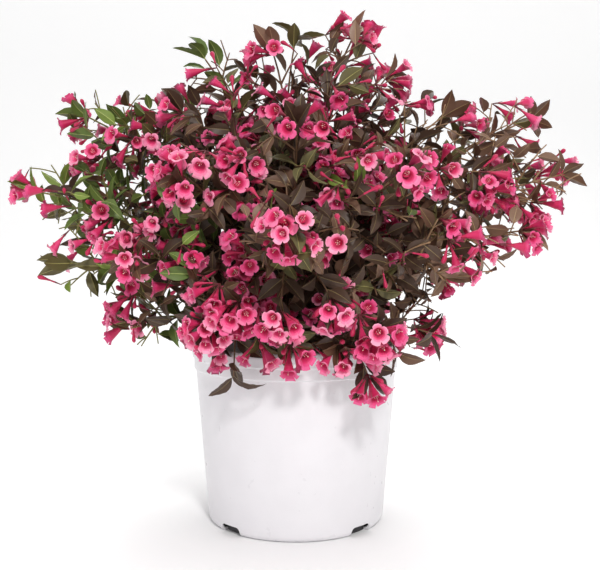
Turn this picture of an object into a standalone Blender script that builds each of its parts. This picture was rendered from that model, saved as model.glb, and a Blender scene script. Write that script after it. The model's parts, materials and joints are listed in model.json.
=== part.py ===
"""A weigela in flower, growing in a round white nursery pot.

Metres, +Z up. The origin is the middle of the pot's flat underside and -Y is the
side that faces the viewer. Azimuths are turned from +X (the viewer's right) towards +Y.

The shrub is a short stem in the soil, one tapering bough for each part of the crown,
and one mass of twigs, leaves and flowers beyond the end of each bough. Every mass
keeps to its own share of the crown, so that no two of them touch.
"""

import math
import random

import bmesh
import bpy
from mathutils import Matrix, Vector
from mathutils.bvhtree import BVHTree

# Gap between pieces that rest on each other, and the least gap beside a limb
SEAT_GAP = 0.0003
LIMB_CLEARANCE = 0.0010

# Pot, measured over its outside
POT_HEIGHT = 0.2262
POT_SIDES = 40
RIM_RADIUS = 0.1400
LIP_HEIGHT = 0.0074
COLLAR_TOP_RADIUS = 0.1325
COLLAR_LOW_RADIUS = 0.1296
COLLAR_STEP_Z = 0.2082
COLLAR_FOOT_Z = 0.1928
WALL_TOP_RADIUS = 0.1272
WALL_FOOT_RADIUS = 0.1118
WALL = 0.0022
FLOOR = 0.0030
CORNER = 0.0080
NOTCH_ANGLES = (45, 135, 225, 315)
NOTCH_WIDTH = 0.0320
NOTCH_HEIGHT = 0.0110
NOTCH_DEPTH = 0.0100

# Soil in the pot, and the stem that stands in it
SOIL_Z = 0.2020
STEM_SIDES = 12
STEM_HEIGHT = 0.0700
STEM_PROFILE = ((0.0360, 0.0000), (0.0275, 0.0100), (0.0245, 0.0260),
                (0.0240, 0.0600), (0.0180, STEM_HEIGHT))

# Limbs: a bough leaves the stem steeply and arches out to the tip of its mass
ROOT_RADIUS = 0.0150
LOWEST_ROOT = 0.22
HIGHEST_ROOT = 0.85
ROOT_SPACING = 0.0100
ROOT_RISE_SHARE = 0.6
ROOT_ROUNDS = 120
ROOT_LIFT = math.radians(26)
STEEPEST = math.radians(84)
TIP_DROOP = math.radians(20)
HANDLE = 0.36
BOUGH_SIDES = 5
BOUGH_STEPS = 4
BOUGH_RADIUS = 0.0038
BOUGH_END_RADIUS = 0.0024
TWIG_SIDES = 3
LEADER_STEPS = 4
LEADER_END_RADIUS = 0.0013

# Masses: the point from which their cones spread, the share of a limb's run at which
# its cone is centred, the shortest bough as a share of its limb, and the gap between
CONE_POINT = Vector((0.0, 0.0, 0.232))
MASS_CENTRE = 0.85
SHORTEST_BOUGH = 0.36
ENTRY_STEPS = 60
ENTRY_SPARE = 1.5
MASS_GAP = 0.0012

# Outer end of a mass: the middle of the crown, which the leaves face away from, how far
# leaves go past the tip of the limb, and the cone in which the mass narrows to its tip
CROWN_MIDDLE = Vector((0.0, 0.0, 0.36))
PAST_TIP = 0.004
TIP_BREADTH = 0.040
TIP_SPREAD = 1.00

# Foot of the crown: it rises from beside the pot's rim to a little under each low tip
FOOT_REACH = 0.150
FOOT_Z = 0.210
FOOT_UNDER_TIP = 0.022
LEAST_FOOT_RISE = 0.10
MOST_FOOT_RISE = 0.50
STEEP_RISE = 1.05

# Twigs, leaves and flowers, larger than life because they are fewer
NODE_SPACING = 0.038
FEWEST_NODES = 3
TWIG_REACH = 0.125
TWIG_TAPER = 0.78
TWIG_ROOT_ANGLE = math.radians(78)
TWIG_TIP_ANGLE = math.radians(42)
PAIR_SPACING = 0.045
TWIG_RADIUS = 0.0018
TWIG_END_RADIUS = 0.0011
LEAF_LENGTH = 0.076
LEAF_WIDTH = 0.044
LEAF_THICKNESS = 0.0015
LEAF_FOLD = 0.006
LEAF_ANGLE = math.radians(52)
TIP_LEAF_ANGLE = 0.35
TIP_LEAVES = 3
LEADER_SHORT = 0.92
FLOWER_LENGTH = 0.036
FLOWER_MOUTH = 0.0155
FLOWER_WAIST = 0.0058
LEAF_SPACING = 0.024
LEAF_MIDDLE = 0.55
UPWARD = 0.5
TWIG_SAMPLES = 16
TRIES = 9
SHORTER_EACH_TRY = 0.07
SEED = 23

# Crown: each bough's azimuth in degrees, reach and height of its tip, and its share
# of flowering twigs. These show from the front.
FRONT_BOUGHS = {
    "crest_left": (168, 0.143, 0.617, 0.4),
    "crest_centre": (205, 0.045, 0.620, 0.9),
    "crest_right": (5, 0.090, 0.642, 0.9),
    "crest_side": (28, 0.160, 0.598, 0.9),
    "brow_left": (200, 0.172, 0.532, 0.5),
    "shoulder_left": (172, 0.308, 0.531, 0.7),
    "shoulder_right": (2, 0.216, 0.532, 0.6),
    "arm_left": (182, 0.358, 0.420, 0.6),
    "arm_right_high": (10, 0.348, 0.528, 0.3),
    "arm_right": (355, 0.366, 0.442, 0.8),
    "flank_left": (190, 0.312, 0.325, 0.6),
    "flank_right": (346, 0.312, 0.368, 0.8),
    "skirt_left": (196, 0.240, 0.248, 0.8),
    "skirt_right": (345, 0.188, 0.236, 0.4),
    "front_high": (271, 0.185, 0.500, 0.8),
    "front_upper_left": (236, 0.245, 0.436, 0.9),
    "front_upper_right": (304, 0.235, 0.436, 0.7),
    "front_left": (218, 0.262, 0.335, 1.0),
    "front_centre": (270, 0.285, 0.368, 0.8),
    "front_right": (321, 0.255, 0.345, 0.6),
    "front_low_left": (243, 0.225, 0.258, 1.0),
    "front_low_right": (293, 0.192, 0.220, 1.0),
}

# The back of the crown, which the front hides: two rings and a high bough
BACK_RINGS = {
    "back_low": ((58, 122), 0.225, 0.250),
    "back_middle": ((38, 90, 142), 0.290, 0.380),
    "back_high": ((92,), 0.190, 0.505),
}
BACK_BLOOM = 0.6

# Colours
POT_WHITE = (0.82, 0.81, 0.84)
SOIL_BROWN = (0.030, 0.020, 0.014)
BARK_BROWN = (0.120, 0.080, 0.050)
LEAF_BRONZE = (0.055, 0.045, 0.025)


def material(name, colour, roughness):
    made = bpy.data.materials.new(name)
    made.use_nodes = True
    made.diffuse_color = (*colour, 1.0)
    shader = made.node_tree.nodes["Principled BSDF"]
    shader.inputs["Base Color"].default_value = (*colour, 1.0)
    shader.inputs["Roughness"].default_value = roughness
    shader.inputs["Metallic"].default_value = 0.0
    return made


def add_object(name, mesh, collection):
    thing = bpy.data.objects.new(name, mesh)
    collection.objects.link(thing)
    return thing


def drop(thing):
    """Remove an object and the mesh or curve it alone used."""
    data = thing.data
    kinds = bpy.data.curves if isinstance(data, bpy.types.Curve) else bpy.data.meshes
    bpy.data.objects.remove(thing)
    kinds.remove(data)


def evaluated_mesh(thing):
    depsgraph = bpy.context.evaluated_depsgraph_get()
    return bpy.data.meshes.new_from_object(thing.evaluated_get(depsgraph), depsgraph=depsgraph)


def turned(name, profile, sides, collection):
    """Screw a profile of (radius, height) pairs, which runs down its outer side."""
    mesh = bpy.data.meshes.new(name)
    points = [(radius, 0.0, height) for radius, height in profile]
    mesh.from_pydata(points, [(i, i + 1) for i in range(len(points) - 1)], [])
    thing = add_object(name, mesh, collection)
    screw = thing.modifiers.new("Turn", "SCREW")
    screw.steps = sides
    screw.render_steps = sides
    screw.use_smooth_shade = True
    screw.use_merge_vertices = True
    screw.merge_threshold = 0.00001
    return thing


def subtract(thing, cutter):
    """Cut one object by another and keep the cut live."""
    cut = thing.modifiers.new("Cut", "BOOLEAN")
    cut.operation = "DIFFERENCE"
    cut.solver = "EXACT"
    cut.object = cutter


# Pot and soil

def wall_radius(height):
    """Outer radius of the tapering wall below the collar."""
    share = height / COLLAR_FOOT_Z
    return WALL_FOOT_RADIUS + (WALL_TOP_RADIUS - WALL_FOOT_RADIUS) * share


def corner_arc(radius, count):
    """Rounded edge between the wall and the underside, from the wall inwards."""
    centre = wall_radius(CORNER) - CORNER
    angles = [math.radians(90) * i / count for i in range(count + 1)]
    return [(centre + radius * math.cos(a), CORNER - radius * math.sin(a)) for a in angles]


def make_pot(parts, cutters):
    inner_floor = wall_radius(CORNER) - WALL - CORNER / 2
    profile = [
        (0.0, FLOOR),
        (inner_floor, FLOOR),
        (wall_radius(CORNER) - WALL, FLOOR + CORNER / 2),
        (WALL_TOP_RADIUS - WALL, COLLAR_FOOT_Z),
        (COLLAR_TOP_RADIUS - WALL, POT_HEIGHT - LIP_HEIGHT / 2),
        (COLLAR_TOP_RADIUS - WALL / 2, POT_HEIGHT),
        (RIM_RADIUS - WALL / 2, POT_HEIGHT),
        (RIM_RADIUS, POT_HEIGHT - WALL / 2),
        (RIM_RADIUS, POT_HEIGHT - LIP_HEIGHT),
        (COLLAR_TOP_RADIUS, POT_HEIGHT - LIP_HEIGHT),
        (COLLAR_TOP_RADIUS - WALL / 4, COLLAR_STEP_Z),
        (COLLAR_LOW_RADIUS, COLLAR_STEP_Z - WALL),
        (COLLAR_LOW_RADIUS, COLLAR_FOOT_Z + WALL),
        (WALL_TOP_RADIUS, COLLAR_FOOT_Z),
        *corner_arc(CORNER, 3),
        (0.0, 0.0),
    ]
    pot = turned("pot", profile, POT_SIDES, parts)
    pot.data.materials.append(material("pot_plastic", POT_WHITE, 0.35))
    for index, angle in enumerate(NOTCH_ANGLES):
        subtract(pot, make_notch(f"notch_{index + 1}", math.radians(angle), cutters))
    return pot


def make_notch(name, angle, cutters):
    """Drain notch: a box with two bevelled upper edges, sunk in the foot of the wall."""
    bm = bmesh.new()
    bmesh.ops.create_cube(bm, size=1.0)
    bmesh.ops.scale(bm, verts=bm.verts, vec=(2 * NOTCH_DEPTH, NOTCH_WIDTH, 2 * NOTCH_HEIGHT))
    upper = [e for e in bm.edges
             if all(v.co.z > 0 for v in e.verts) and e.verts[0].co.y == e.verts[1].co.y]
    bmesh.ops.bevel(bm, geom=upper, offset=NOTCH_HEIGHT / 2, segments=2, profile=0.5,
                    affect="EDGES")
    mesh = bpy.data.meshes.new(name)
    bm.to_mesh(mesh)
    bm.free()
    notch = add_object(name, mesh, cutters)
    notch.location = (WALL_FOOT_RADIUS * math.cos(angle), WALL_FOOT_RADIUS * math.sin(angle), 0.0)
    notch.rotation_euler = (0.0, 0.0, angle)
    notch.hide_render = True
    notch.display_type = "WIRE"
    return notch


def make_soil(parts):
    """Soil and roots, which fill the pot to a little below its rim."""
    foot = wall_radius(CORNER) - WALL - SEAT_GAP
    shoulder = (SOIL_Z - COLLAR_FOOT_Z) / (POT_HEIGHT - LIP_HEIGHT / 2 - COLLAR_FOOT_Z)
    top = WALL_TOP_RADIUS + shoulder * (COLLAR_TOP_RADIUS - WALL_TOP_RADIUS) - WALL - SEAT_GAP
    profile = [
        (0.0, SOIL_Z),
        (STEM_PROFILE[0][0] + WALL, SOIL_Z),
        (top - CORNER, SOIL_Z - WALL),
        (top - WALL, SOIL_Z - 2 * WALL),
        (WALL_TOP_RADIUS - WALL - SEAT_GAP, COLLAR_FOOT_Z),
        (foot, FLOOR + CORNER / 2 + SEAT_GAP),
        (foot - CORNER / 2, FLOOR + SEAT_GAP),
        (0.0, FLOOR + SEAT_GAP),
    ]
    soil = turned("soil", profile, POT_SIDES, parts)
    soil.data.materials.append(material("soil", SOIL_BROWN, 0.95))
    return soil


# Stem and boughs

def make_stem(name, spare, collection):
    """Short stem with its flare, cut flat where it stands in the soil."""
    foot = SOIL_Z + SEAT_GAP
    profile = [(0.0, foot + STEM_HEIGHT + spare)]
    profile += [(radius + spare, foot + height) for radius, height in reversed(STEM_PROFILE)]
    profile += [(0.0, foot)]
    return turned(name, profile, STEM_SIDES, collection)


def crown_plan():
    """Azimuth, reach, height and bloom of every bough, front and back."""
    plan = dict(FRONT_BOUGHS)
    for ring, (azimuths, reach, height) in BACK_RINGS.items():
        for index, azimuth in enumerate(azimuths):
            name = ring if len(azimuths) == 1 else f"{ring}_{index + 1}"
            plan[name] = (azimuth, reach, height, BACK_BLOOM)
    return plan


def heading(azimuth, rise):
    """Unit vector at an azimuth and an angle above level."""
    level = math.cos(rise)
    return Vector((level * math.cos(azimuth), level * math.sin(azimuth), math.sin(rise)))


def tip_rise(reach, height):
    """Angle above level at which a tip is seen from the middle of the stem."""
    return math.atan2(height - SOIL_Z - STEM_HEIGHT / 2, reach)


def root_place(turn, reach, height):
    """Root of a bough inside the stem: the steeper the bough, the higher its root."""
    steep = max(0.0, tip_rise(reach, height)) / math.radians(90)
    share = LOWEST_ROOT + (HIGHEST_ROOT - LOWEST_ROOT) * steep
    return Vector((ROOT_RADIUS * math.cos(turn), ROOT_RADIUS * math.sin(turn),
                   SOIL_Z + STEM_HEIGHT * share))


def root_turns(plan):
    """Turn of each root about the stem, spread out where the roots would crowd."""
    turns = {name: math.radians(row[0]) for name, row in plan.items()}
    for _ in range(ROOT_ROUNDS):
        for name in turns:
            for other in turns:
                here = root_place(turns[name], *plan[name][1:3])
                there = root_place(turns[other], *plan[other][1:3])
                apart = here - there
                apart.z *= ROOT_RISE_SHARE
                short = ROOT_SPACING - apart.length
                if other != name and short > 0.0:
                    side = math.copysign(1.0, math.sin(turns[name] - turns[other]))
                    turns[name] += side * short / ROOT_RADIUS / 4
    return turns


def limb_curve(turn, azimuth, reach, height):
    """Control points of a limb, from inside the stem to the tip of its mass."""
    azimuth = math.radians(azimuth)
    start = root_place(turn, reach, height)
    tip = Vector((reach * math.cos(azimuth), reach * math.sin(azimuth), height))
    span = (tip - start).length
    rise = tip_rise(reach, height)
    out = heading(turn, min(rise + ROOT_LIFT, STEEPEST)) * HANDLE * span
    back = heading(azimuth, rise - TIP_DROOP) * HANDLE * span
    return start, start + out, tip - back, tip


def on_curve(curve, share):
    """Point of a cubic curve at a share of its run."""
    a, b, c, d = curve
    rest = 1.0 - share
    return a * rest**3 + b * 3 * rest**2 * share + c * 3 * rest * share**2 + d * share**3


def stretch(curve, start, end, steps):
    """Evenly spaced points of a cubic curve between two shares of its run."""
    return [on_curve(curve, start + (end - start) * i / steps) for i in range(steps + 1)]


def ring_profile(name, sides, collection):
    """Round outline of a limb, of unit radius, used as the bevel of its curve."""
    outline = bpy.data.curves.new(name, "CURVE")
    outline.dimensions = "2D"
    spline = outline.splines.new("POLY")
    spline.points.add(sides - 1)
    for index, point in enumerate(spline.points):
        angle = 2 * math.pi * index / sides
        point.co = (math.cos(angle), math.sin(angle), 0.0, 1.0)
    spline.use_cyclic_u = True
    guide = add_object(name, outline, collection)
    guide.hide_render = True
    guide.display_type = "WIRE"
    return guide


def tapered_mesh(name, points, radii, outline):
    """Closed mesh of a limb that tapers along its points."""
    curve = bpy.data.curves.new(name, "CURVE")
    curve.dimensions = "3D"
    curve.bevel_mode = "OBJECT"
    curve.bevel_object = outline
    curve.use_fill_caps = True
    spline = curve.splines.new("POLY")
    spline.points.add(len(points) - 1)
    for point, place, radius in zip(spline.points, points, radii):
        point.co = (*place, 1.0)
        point.radius = radius
    holder = add_object(name, curve, bpy.context.scene.collection)
    mesh = evaluated_mesh(holder)
    drop(holder)
    bm = bmesh.new()
    bm.from_mesh(mesh)
    bmesh.ops.remove_doubles(bm, verts=bm.verts, dist=0.000001)
    bmesh.ops.recalc_face_normals(bm, faces=bm.faces)
    bm.to_mesh(mesh)
    bm.free()
    return mesh


def taper(first, last, count):
    return [first + (last - first) * i / (count - 1) for i in range(count)]


# Shares of the crown

class Share:
    """The part of the crown that one mass keeps to.

    Planes part its cone from the others. One more plane is square to its tip, one is the
    crown's foot, and the mass narrows in a cone towards its tip.
    """

    def __init__(self, name, curves):
        self.tip = curves[name][3]
        self.out = (self.tip - CROWN_MIDDLE).normalized()
        self.planes = [(self.out, self.out.dot(self.tip) + PAST_TIP), self.foot_plane()]
        ahead = cone_heading(curves[name])
        for other, curve in curves.items():
            if other != name:
                normal = (cone_heading(curve) - ahead).normalized()
                self.planes.append((normal, normal.dot(CONE_POINT) - MASS_GAP / 2))

    def foot_plane(self):
        """Plane that leaves nothing under it, level where the mass is a steep one."""
        level = Vector((self.tip.x, self.tip.y, 0.0)).normalized()
        foot = self.tip - Vector((0.0, 0.0, FOOT_UNDER_TIP))
        rise = STEEP_RISE
        if level.dot(self.tip) > FOOT_REACH:
            rise = (foot.z - FOOT_Z) / (level.dot(self.tip) - FOOT_REACH)
        if rise < STEEP_RISE:
            rise = min(MOST_FOOT_RISE, max(LEAST_FOOT_RISE, rise))
        else:
            rise = 0.0
            foot.z = FOOT_Z
        under = level * rise - Vector((0.0, 0.0, 1.0))
        return under, under.dot(foot)

    def holds(self, points):
        for normal, offset in self.planes:
            if any(normal.dot(point) >= offset for point in points):
                return False
        for point in points:
            ahead = (point - self.tip).dot(self.out)
            aside = (point - self.tip - self.out * ahead).length
            if aside > TIP_BREADTH + TIP_SPREAD * (PAST_TIP - ahead):
                return False
        return True

    def entry(self, curve):
        """Share of its run at which the limb enters its own mass for good."""
        place = 1.0
        for index in range(ENTRY_STEPS, -1, -1):
            if not self.holds([on_curve(curve, index / ENTRY_STEPS)]):
                break
            place = index / ENTRY_STEPS
        return max(SHORTEST_BOUGH, place + ENTRY_SPARE / ENTRY_STEPS)


def cone_heading(curve):
    """Direction in which the cone of a limb's mass spreads."""
    return (on_curve(curve, MASS_CENTRE) - CONE_POINT).normalized()


class Obstacles:
    """The pot, soil, stem and boughs, which no leaf or twig may touch."""

    def __init__(self, meshes):
        points = []
        faces = []
        for mesh in meshes:
            first = len(points)
            points += [vertex.co.copy() for vertex in mesh.vertices]
            faces += [[first + index for index in face.vertices] for face in mesh.polygons]
        self.tree = BVHTree.FromPolygons(points, faces)

    def clear_of(self, bm, matrix):
        placed = [matrix @ vertex.co for vertex in bm.verts]
        faces = [[vertex.index for vertex in face.verts] for face in bm.faces]
        if self.tree.overlap(BVHTree.FromPolygons(placed, faces)):
            return False
        return all(self.tree.find_nearest(point)[3] > LIMB_CLEARANCE for point in placed)


# Leaves, flowers and twigs

def shaped_ball(around, along, reshape):
    """Ball with few faces whose points are moved one by one."""
    bm = bmesh.new()
    bmesh.ops.create_uvsphere(bm, u_segments=around, v_segments=along, radius=1.0)
    for vertex in bm.verts:
        vertex.co = reshape(vertex.co)
    bm.verts.index_update()
    return bm


def leaf_shape():
    """Pointed leaf along +X, folded upwards along its midrib."""
    def reshape(co):
        length = LEAF_LENGTH * (0.45 + 0.45 * co.x if co.x < 0 else 0.45 + 0.55 * co.x)
        droop = -0.10 * LEAF_LENGTH * max(0.0, co.x)
        return Vector((length, co.y * LEAF_WIDTH / 2,
                       abs(co.y) * LEAF_FOLD + co.z * LEAF_THICKNESS / 2 + droop))
    return shaped_ball(4, 2, reshape)


def flower_shape():
    """Trumpet along +X: its foot, a narrow waist, the mouth and the sunken throat."""
    def reshape(co):
        turn = math.atan2(co.y, co.x)
        if abs(co.z) > 0.9:
            return Vector((0.0 if co.z < 0 else 0.70 * FLOWER_LENGTH, 0.0, 0.0))
        length, radius = (0.55, FLOWER_WAIST) if co.z < 0 else (1.0, FLOWER_MOUTH)
        return Vector((length * FLOWER_LENGTH, radius * math.cos(turn), radius * math.sin(turn)))
    return shaped_ball(5, 3, reshape)


def placed_at(root, direction, face):
    """Frame at a root: X along the direction, Z turned as far as it goes to a face."""
    x = direction.normalized()
    y = face.cross(x).normalized()
    z = x.cross(y)
    frame = Matrix((x, y, z)).transposed().to_4x4()
    frame.translation = root
    return frame


def beside(along, turn):
    """Unit vector square to a direction, at a turn about it."""
    first = along.cross(Vector((0.0, 0.0, 1.0)))
    if first.length < 0.2:
        first = along.cross(Vector((1.0, 0.0, 0.0)))
    first.normalize()
    return (first * math.cos(turn) + along.cross(first) * math.sin(turn)).normalized()


class Mass:
    """One mass of foliage: its leader, side twigs, leaves and flowers."""

    def __init__(self, name, curve, share, obstacles, bloom, start, shapes):
        self.curve = curve
        self.share = share
        self.obstacles = obstacles
        self.bloom = bloom
        self.start = start
        self.shapes = shapes
        self.dice = random.Random(f"{SEED} {name}")
        self.twigs = []
        self.placed = []
        self.middles = []
        span = (curve[3] - on_curve(curve, start)).length
        self.end = 1.0 - (1.0 - start) * LEADER_SHORT * LEAF_LENGTH / span

    def fits(self, kind, matrix):
        bm = self.shapes[kind]
        if not self.share.holds([matrix @ vertex.co for vertex in bm.verts]):
            return False
        return self.obstacles.clear_of(bm, matrix)

    def add(self, kind, root, direction, depth):
        """Set a leaf or a flower with its root sunk in the twig, where it has room."""
        face = (root - CROWN_MIDDLE).normalized() + Vector((0.0, 0.0, UPWARD))
        matrix = placed_at(root - direction.normalized() * depth, direction, face)
        reach = LEAF_LENGTH if kind == "leaf" else FLOWER_LENGTH
        middle = root + direction.normalized() * reach * LEAF_MIDDLE
        close = any((middle - other).length < LEAF_SPACING for other in self.middles)
        if close or not self.fits(kind, matrix):
            return False
        self.middles.append(middle)
        self.placed.append((kind, matrix))
        return True

    def add_near(self, kind, root, along, side, angle, depth):
        """Try a few seeded turns and angles until the leaf or flower has room."""
        for attempt in range(TRIES):
            swing = self.dice.uniform(-0.25, 0.25) * (1 + attempt)
            tilt = angle + self.dice.uniform(-0.15, 0.15) * (1 + attempt * 0.5)
            turned_side = Matrix.Rotation(swing, 3, along) @ side
            direction = along * math.cos(tilt) + turned_side * math.sin(tilt)
            if self.add(kind, root, direction, depth):
                return True
        return False

    def twig_fits(self, root, tip):
        samples = [root.lerp(tip, i / TWIG_SAMPLES) for i in range(4, TWIG_SAMPLES + 1)]
        if not self.share.holds(samples):
            return False
        spare = TWIG_RADIUS + LIMB_CLEARANCE
        return all(self.obstacles.tree.find_nearest(point)[3] > spare for point in samples)

    def side_twig(self, root, along, side, node):
        """Side twig with pairs of leaves, and a flower or leaf at its tip."""
        angle = TWIG_ROOT_ANGLE + (TWIG_TIP_ANGLE - TWIG_ROOT_ANGLE) * node
        longest = TWIG_REACH * (1.0 - TWIG_TAPER * node)
        for attempt in range(TRIES):
            swing = self.dice.uniform(-0.2, 0.2) * (1 + attempt)
            lean = Matrix.Rotation(swing, 3, along) @ side
            direction = along * math.cos(angle) + lean * math.sin(angle)
            reach = longest * (1.0 - SHORTER_EACH_TRY * attempt)
            tip = root + direction * reach
            if self.twig_fits(root, tip):
                break
        else:
            return
        self.twigs.append(([root, tip], [TWIG_RADIUS, TWIG_END_RADIUS]))
        first = self.dice.uniform(0.0, math.pi)
        pairs = max(1, round(reach / PAIR_SPACING))
        for pair in range(pairs):
            place = root.lerp(tip, (pair + 0.9) / (pairs + 0.7))
            for turn in (0.0, math.pi):
                side = beside(direction, first + pair * math.pi / 2 + turn)
                self.add_near("leaf", place, direction, side, LEAF_ANGLE, TWIG_RADIUS * 0.5)
        end = root.lerp(tip, 0.97)
        kind = "flower" if self.dice.random() < self.bloom else "leaf"
        self.add_near(kind, end, direction, beside(direction, first), 0.2, TWIG_END_RADIUS)

    def grow(self):
        """Grow the leader, then pairs of twigs and leaves, each pair turned a quarter."""
        points = stretch(self.curve, self.start, self.end, LEADER_STEPS)
        first_step = (points[1] - points[0]).normalized()
        points[0] = points[0] + first_step * SEAT_GAP
        self.twigs.append((points, taper(BOUGH_END_RADIUS, LEADER_END_RADIUS, len(points))))
        quarter = self.dice.uniform(0.0, math.pi)
        run = sum((b - a).length for a, b in zip(points, points[1:]))
        count = max(FEWEST_NODES, round(run / NODE_SPACING))
        for index in range(count):
            node = (index + 0.5) / count
            share = self.start + (self.end - self.start) * node
            root = on_chain(points, node)
            along = (on_curve(self.curve, share + 0.02) - on_curve(self.curve, share - 0.02))
            along.normalize()
            for turn in (0.0, math.pi):
                side = beside(along, quarter + index * math.pi / 2 + turn)
                if index < count - 1:
                    self.side_twig(root, along, side, node)
                else:
                    self.add_near("leaf", root, along, side, LEAF_ANGLE, TWIG_RADIUS * 0.5)
        along = (points[-1] - points[-2]).normalized()
        end = points[-2].lerp(points[-1], 0.97)
        for turn in range(TIP_LEAVES):
            side = beside(along, quarter + turn * 2 * math.pi / TIP_LEAVES)
            kind = "flower" if turn == 1 and self.dice.random() < self.bloom else "leaf"
            self.add_near(kind, end, along, side, TIP_LEAF_ANGLE, LEADER_END_RADIUS)


def on_chain(points, share):
    """Point at a share of the run of a chain of equal steps."""
    place = share * (len(points) - 1)
    index = min(int(place), len(points) - 2)
    return points[index].lerp(points[index + 1], place - index)


def largest_body(mesh):
    """Keep the largest joined body of a mesh: scraps and sealed hollows go."""
    bm = bmesh.new()
    bm.from_mesh(mesh)
    bmesh.ops.triangulate(bm, faces=bm.faces)
    waiting = set(bm.faces)
    bodies = []
    while waiting:
        edge_of_body = [waiting.pop()]
        body = list(edge_of_body)
        while edge_of_body:
            face = edge_of_body.pop()
            for edge in face.edges:
                for near in edge.link_faces:
                    if near in waiting:
                        waiting.remove(near)
                        edge_of_body.append(near)
                        body.append(near)
        bodies.append(body)
    bodies.sort(key=len, reverse=True)
    loose = [face for body in bodies[1:] for face in body]
    bmesh.ops.delete(bm, geom=loose, context="FACES")
    bm.to_mesh(mesh)
    bm.free()


def fuse_mass(name, mass, outline, parts, look):
    """Join a mass's twigs, leaves and flowers into one solid."""
    pieces = bpy.data.collections.new(f"{name}_pieces")
    bpy.context.scene.collection.children.link(pieces)
    leader_points, leader_radii = mass.twigs[0]
    body = add_object(name, tapered_mesh(name, leader_points, leader_radii, outline), parts)
    for index, (points, radii) in enumerate(mass.twigs[1:]):
        mesh = tapered_mesh(f"twig_{index}", points, radii, outline)
        add_object(f"twig_{index}", mesh, pieces)
    for index, (kind, matrix) in enumerate(mass.placed):
        mesh = bpy.data.meshes.new(f"{kind}_{index}")
        mass.shapes[kind].to_mesh(mesh)
        mesh.transform(matrix)
        add_object(f"{kind}_{index}", mesh, pieces)
    union = body.modifiers.new("Join", "BOOLEAN")
    union.operation = "UNION"
    union.operand_type = "COLLECTION"
    union.collection = pieces
    union.solver = "MANIFOLD"
    joined = evaluated_mesh(body)
    body.modifiers.remove(union)
    old = body.data
    body.data = joined
    bpy.data.meshes.remove(old)
    for piece in list(pieces.objects):
        drop(piece)
    bpy.data.collections.remove(pieces)
    largest_body(joined)
    joined.name = name
    joined.materials.clear()
    joined.materials.append(look)
    return body


def build():
    for thing in list(bpy.data.objects):
        bpy.data.objects.remove(thing)
    scene = bpy.context.scene.collection
    parts = bpy.data.collections.new("weigela")
    cutters = bpy.data.collections.new("cutters")
    scene.children.link(parts)
    scene.children.link(cutters)

    pot = make_pot(parts, cutters)
    soil = make_soil(parts)
    bark = material("bark", BARK_BROWN, 0.85)
    stem = make_stem("stem_base", 0.0, parts)
    stem.data.materials.append(bark)
    stem_room = make_stem("stem_room", SEAT_GAP, cutters)
    stem_room.hide_render = True
    stem_room.display_type = "WIRE"

    plan = crown_plan()
    turns = root_turns(plan)
    curves = {name: limb_curve(turns[name], *row[:3]) for name, row in plan.items()}
    shares = {name: Share(name, curves) for name in plan}
    starts = {name: shares[name].entry(curve) for name, curve in curves.items()}
    bough_outline = ring_profile("bough_outline", BOUGH_SIDES, cutters)
    twig_outline = ring_profile("twig_outline", TWIG_SIDES, cutters)

    solid_meshes = [evaluated_mesh(thing) for thing in (pot, soil, stem)]
    for name, curve in curves.items():
        points = stretch(curve, 0.0, starts[name], BOUGH_STEPS)
        radii = taper(BOUGH_RADIUS, BOUGH_END_RADIUS, len(points))
        bough = add_object(f"bough_{name}",
                           tapered_mesh(name, points, radii, bough_outline), parts)
        bough.data.materials.append(bark)
        subtract(bough, stem_room)
        wide = [radius + LIMB_CLEARANCE for radius in radii]
        solid_meshes.append(tapered_mesh(f"{name}_wide", points, wide, bough_outline))
    obstacles = Obstacles(solid_meshes)
    for mesh in solid_meshes:
        bpy.data.meshes.remove(mesh)

    shapes = {"leaf": leaf_shape(), "flower": flower_shape()}
    look = material("foliage", LEAF_BRONZE, 0.6)
    for name, row in plan.items():
        mass = Mass(name, curves[name], shares[name], obstacles, row[3], starts[name], shapes)
        mass.grow()
        fuse_mass(f"foliage_{name}", mass, twig_outline, parts, look)
    for bm in shapes.values():
        bm.free()


build()
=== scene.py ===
"""Looks of the weigela in its nursery pot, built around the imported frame.

Metres, +Z up, and -Y faces the camera. The boughs follow the rule of the part's source.
Each mass of foliage grows on from its bough, with more and finer twigs, true-sized leaves,
flowers and buds, within the same share of the crown.
"""

import itertools
import json
import random
from math import atan2, copysign, cos, exp, pi, radians, sin, sqrt, tan

import bmesh
import bpy
import numpy as np
from mathutils import Matrix, Vector
from mathutils.bvhtree import BVHTree

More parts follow.
